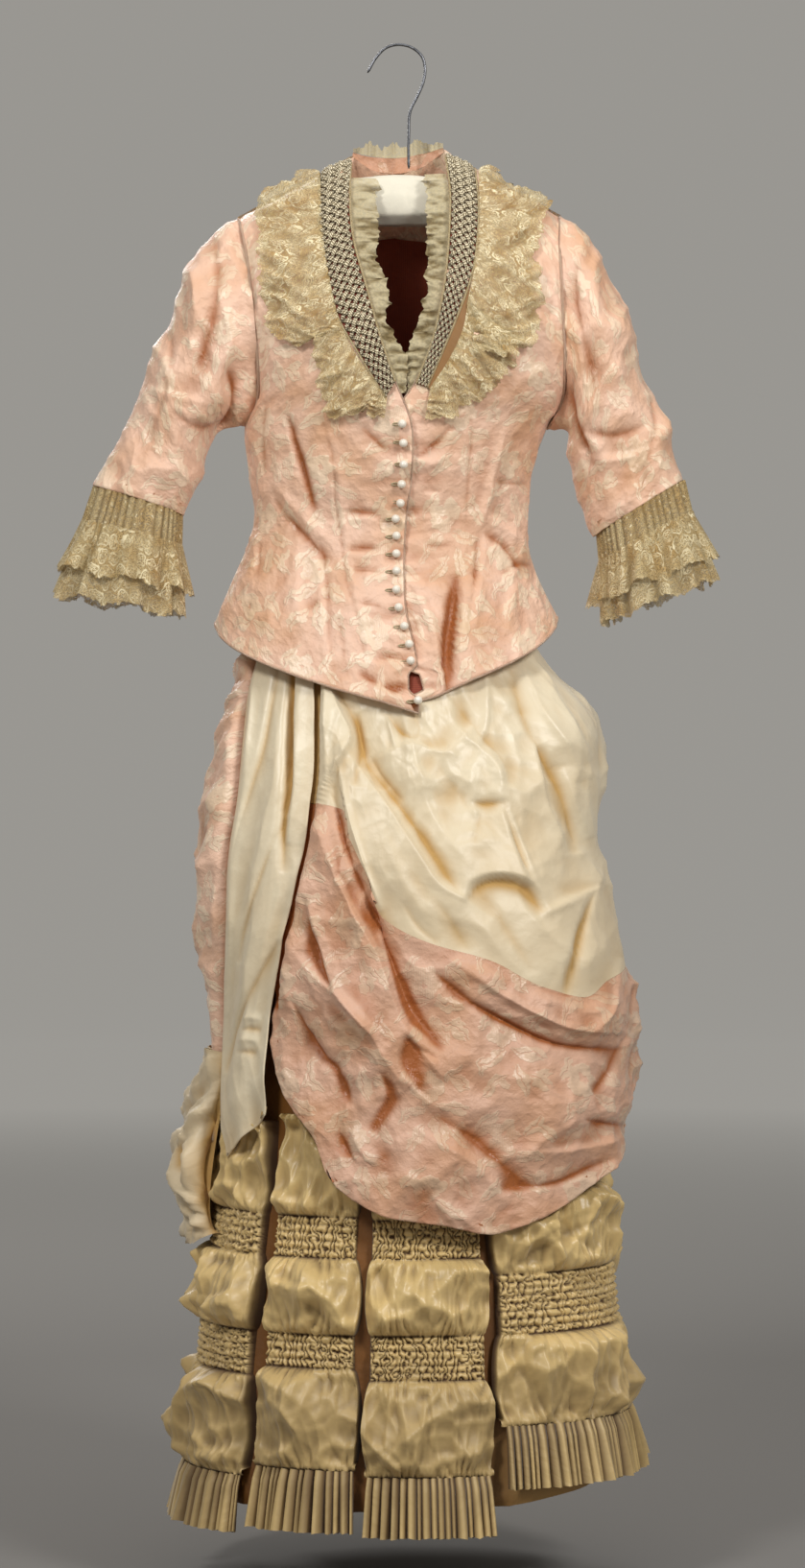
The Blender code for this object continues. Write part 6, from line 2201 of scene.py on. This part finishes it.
def build_pad():
    """The padded bar, swelled by Blender's cloth with pressure inside a voxel-remeshed form, and eased back
    where a point moved past the cap."""
    mesh = pad_mesh()
    piece = placed("pad", mesh, finish(pad_cotton))
    remesh = piece.modifiers.new("Voxels", "REMESH")
    remesh.mode = "VOXEL"
    remesh.voxel_size = PAD_VOXEL
    applied(piece)
    start = points_of(piece)
    swell = piece.modifiers.new("Swell", "CLOTH")
    swell.settings.use_pressure = True
    swell.settings.uniform_pressure_force = SWELL_PRESSURE
    swell.settings.effector_weights.gravity = 0
    swell.point_cache.frame_start, swell.point_cache.frame_end = 1, SWELL_FRAMES
    for number in range(1, SWELL_FRAMES + 1):
        bpy.context.scene.frame_set(number)
    applied(piece)
    bpy.context.scene.frame_set(1)
    moved = points_of(piece) - start
    far = np.linalg.norm(moved, axis=1, keepdims=True)
    capped = start + moved * np.minimum(1, SWELL_CAP / np.maximum(far, 1e-9))
    piece.data.vertices.foreach_set("co", capped.ravel())
    smooth_out = piece.modifiers.new("Finer", "SUBSURF")
    smooth_out.levels = smooth_out.render_levels = 1
    piece.data.shade_smooth()
    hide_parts("hanger_pad")


def points_of(piece):
    """A mesh's points as an array."""
    values = np.empty(3 * len(piece.data.vertices))
    piece.data.vertices.foreach_get("co", values)
    return values.reshape(-1, 3)


def applied(piece):
    """Replaces a piece's mesh by what its modifiers make of it."""
    state = bpy.context.evaluated_depsgraph_get()
    made = bpy.data.meshes.new_from_object(piece.evaluated_get(state))
    piece.modifiers.clear()
    piece.data = made


# ---------------------------------------------------------------- stage


def aimed(made, place, target):
    """Puts an object at a place, pointing its -Z at a target."""
    way = np.subtract(target, place)
    made.location = place
    flat = np.hypot(way[0], way[1])
    made.rotation_euler = (np.arctan2(flat, -way[2]), 0, np.arctan2(-way[0], way[1]))
    bpy.context.scene.collection.objects.link(made)
    return made


def build_stage():
    """A pale floor that curves up all round into a plain backdrop, soft lamps and the camera. The floor rises
    as the square of the distance beyond 9 m."""
    across = np.linspace(-16, 16, 97)
    x, y = np.meshgrid(across, across)
    rise = 0.3 * np.clip(np.hypot(x, y) - 9, 0, None) ** 2
    surface("sweep", np.stack([x, y, rise - 1.6], -1) / MM, finish(backdrop_paper), ridden=False)

    lamps = (  # name, place, target, width, height, watts
        ("Key", (-1.3, -2.5, 1.2), (0, 0, -0.5), 0.55, 0.7, 47),
        ("Fill", (1.75, -2.5, 0.8), (0, 0, -0.55), 0.7, 0.8, 53),
        ("Top", (0.2, -0.5, 1.9), (0, 0.1, -0.6), 1.4, 1.4, 14),
        ("Back", (-0.9, 3.2, 1.2), (0, 0.1, -0.7), 1.6, 1.6, 60),
    )
    for name, place, target, width, tall, watts in lamps:
        light = bpy.data.lights.new(name, "AREA")
        light.shape = "RECTANGLE"
        light.size, light.size_y = width, tall
        light.energy = watts
        aimed(bpy.data.objects.new(name, light), place, target)

    world = bpy.data.worlds.new("Studio")
    world.use_nodes = True
    world.node_tree.nodes["Background"].inputs[0].default_value = (0.8, 0.82, 0.85, 1)
    world.node_tree.nodes["Background"].inputs[1].default_value = 0.15
    bpy.context.scene.world = world

    camera = bpy.data.cameras.new("Camera")
    camera.sensor_fit = "VERTICAL"
    camera.sensor_height = 36
    camera.lens = 92.53
    place = (EYE_X * MM, -VIEW_DISTANCE * MM, EYE_Z * MM)
    bpy.context.scene.camera = aimed(bpy.data.objects.new("Camera", camera), place, (place[0], 0, place[2]))
    bpy.context.scene.view_settings.view_transform = "Standard"


# ---------------------------------------------------------------- add-on


class DRESS_OT_hanger_hook(Operator):
    """Builds the hanger's wire hook"""

    bl_idname = "dress.hanger_hook"
    bl_label = "Hanger hook"
    bl_options = {"REGISTER", "UNDO"}

    def execute(self, context):
        build_hook()
        return {"FINISHED"}


class DRESS_OT_hanger_pad(Operator):
    """Builds the padded bar of the hanger"""

    bl_idname = "dress.hanger_pad"
    bl_label = "Hanger pad"
    bl_options = {"REGISTER", "UNDO"}

    def execute(self, context):
        build_pad()
        return {"FINISHED"}


class DRESS_OT_skirt_foundation(Operator):
    """Builds the brown skirt that carries the panels"""

    bl_idname = "dress.skirt_foundation"
    bl_label = "Skirt foundation"
    bl_options = {"REGISTER", "UNDO"}

    def execute(self, context):
        build_foundation()
        return {"FINISHED"}


class DRESS_OT_shirred_panels(Operator):
    """Builds the shirred panels and their knife-pleated flounces"""

    bl_idname = "dress.shirred_panels"
    bl_label = "Shirred panels"
    bl_options = {"REGISTER", "UNDO"}

    def execute(self, context):
        build_panels()
        return {"FINISHED"}


class DRESS_OT_side_panel(Operator):
    """Builds the satin panel down the wearer's right side"""

    bl_idname = "dress.side_panel"
    bl_label = "Side panel"
    bl_options = {"REGISTER", "UNDO"}

    def execute(self, context):
        build_side_panel()
        return {"FINISHED"}


class DRESS_OT_satin_drape(Operator):
    """Builds the satin drape across the front"""

    bl_idname = "dress.satin_drape"
    bl_label = "Satin drape"
    bl_options = {"REGISTER", "UNDO"}

    def execute(self, context):
        build_satin_drape()
        return {"FINISHED"}


class DRESS_OT_brocade_drape(Operator):
    """Builds the brocade drape below the satin"""

    bl_idname = "dress.brocade_drape"
    bl_label = "Brocade drape"
    bl_options = {"REGISTER", "UNDO"}

    def execute(self, context):
        build_brocade_drape()
        return {"FINISHED"}


class DRESS_OT_back_drapery(Operator):
    """Builds the drapery over the bustle and the pouf below it"""

    bl_idname = "dress.back_drapery"
    bl_label = "Back drapery"
    bl_options = {"REGISTER", "UNDO"}

    def execute(self, context):
        build_back_drapery()
        return {"FINISHED"}


class DRESS_OT_bodice(Operator):
    """Builds both fronts, the back and the lining"""

    bl_idname = "dress.bodice"
    bl_label = "Bodice"
    bl_options = {"REGISTER", "UNDO"}

    def execute(self, context):
        build_bodice()
        return {"FINISHED"}


class DRESS_OT_sleeves(Operator):
    """Builds both sleeves"""

    bl_idname = "dress.sleeves"
    bl_label = "Sleeves"
    bl_options = {"REGISTER", "UNDO"}

    def execute(self, context):
        build_sleeves()
        return {"FINISHED"}


class DRESS_OT_piping(Operator):
    """Builds the corded edges of the bodice"""

    bl_idname = "dress.piping"
    bl_label = "Piping"
    bl_options = {"REGISTER", "UNDO"}

    def execute(self, context):
        build_piping()
        return {"FINISHED"}


class DRESS_OT_cuffs(Operator):
    """Builds the net and lace of both cuffs"""

    bl_idname = "dress.cuffs"
    bl_label = "Cuffs"
    bl_options = {"REGISTER", "UNDO"}

    def execute(self, context):
        build_cuffs()
        return {"FINISHED"}


class DRESS_OT_collar_lace(Operator):
    """Builds the lace tiers beside the braids and round the back"""

    bl_idname = "dress.collar_lace"
    bl_label = "Collar lace"
    bl_options = {"REGISTER", "UNDO"}

    def execute(self, context):
        build_collar()
        return {"FINISHED"}


class DRESS_OT_braids(Operator):
    """Builds the plait down each front edge"""

    bl_idname = "dress.braids"
    bl_label = "Braids"
    bl_options = {"REGISTER", "UNDO"}

    def execute(self, context):
        build_braids()
        return {"FINISHED"}


class DRESS_OT_neck(Operator):
    """Builds the neck band and the gauze frills"""

    bl_idname = "dress.neck"
    bl_label = "Neck"
    bl_options = {"REGISTER", "UNDO"}

    def execute(self, context):
        build_neck()
        return {"FINISHED"}


class DRESS_OT_buttons(Operator):
    """Builds the ball buttons and their buttonholes"""

    bl_idname = "dress.buttons"
    bl_label = "Buttons"
    bl_options = {"REGISTER", "UNDO"}

    def execute(self, context):
        build_buttons()
        return {"FINISHED"}


class DRESS_OT_stage(Operator):
    """Builds the backdrop, the lights and the camera"""

    bl_idname = "dress.stage"
    bl_label = "Stage"
    bl_options = {"REGISTER", "UNDO"}

    def execute(self, context):
        build_stage()
        return {"FINISHED"}


STEPS = (
    DRESS_OT_hanger_hook,
    DRESS_OT_hanger_pad,
    DRESS_OT_skirt_foundation,
    DRESS_OT_shirred_panels,
    DRESS_OT_side_panel,
    DRESS_OT_satin_drape,
    DRESS_OT_brocade_drape,
    DRESS_OT_back_drapery,
    DRESS_OT_bodice,
    DRESS_OT_sleeves,
    DRESS_OT_piping,
    DRESS_OT_cuffs,
    DRESS_OT_collar_lace,
    DRESS_OT_braids,
    DRESS_OT_neck,
    DRESS_OT_buttons,
    DRESS_OT_stage,
)


class DRESS_PT_panel(Panel):
    """The dress's colours, sizes and steps"""

    bl_label = "Bustle Dress"
    bl_idname = "DRESS_PT_panel"
    bl_space_type = "VIEW_3D"
    bl_region_type = "UI"
    bl_category = "Dress"

    def draw(self, context):
        for group in (context.scene.dress_sizes, context.scene.dress_colours):
            box = self.layout.box()
            for name in group.bl_rna.properties.keys():
                if name not in ("rna_type", "name"):
                    box.prop(group, name)
        for made in STEPS:
            self.layout.operator(made.bl_idname)


CLASSES = (DressColours, DressSizes, *STEPS, DRESS_PT_panel)


def register():
    """Registers the add-on's classes and its settings on the scene."""
    for made in CLASSES:
        bpy.utils.register_class(made)
    bpy.types.Scene.dress_colours = PointerProperty(type=DressColours)
    bpy.types.Scene.dress_sizes = PointerProperty(type=DressSizes)


def unregister():
    """Takes the add-on's classes and settings away again."""
    del bpy.types.Scene.dress_sizes
    del bpy.types.Scene.dress_colours
    for made in reversed(CLASSES):
        bpy.utils.unregister_class(made)


def main():
    """Builds the dress and its stage step by step."""
    register()
    for made in STEPS:
        group, name = made.bl_idname.split(".")
        getattr(getattr(bpy.ops, group), name)()


if __name__ == "__main__":
    main()
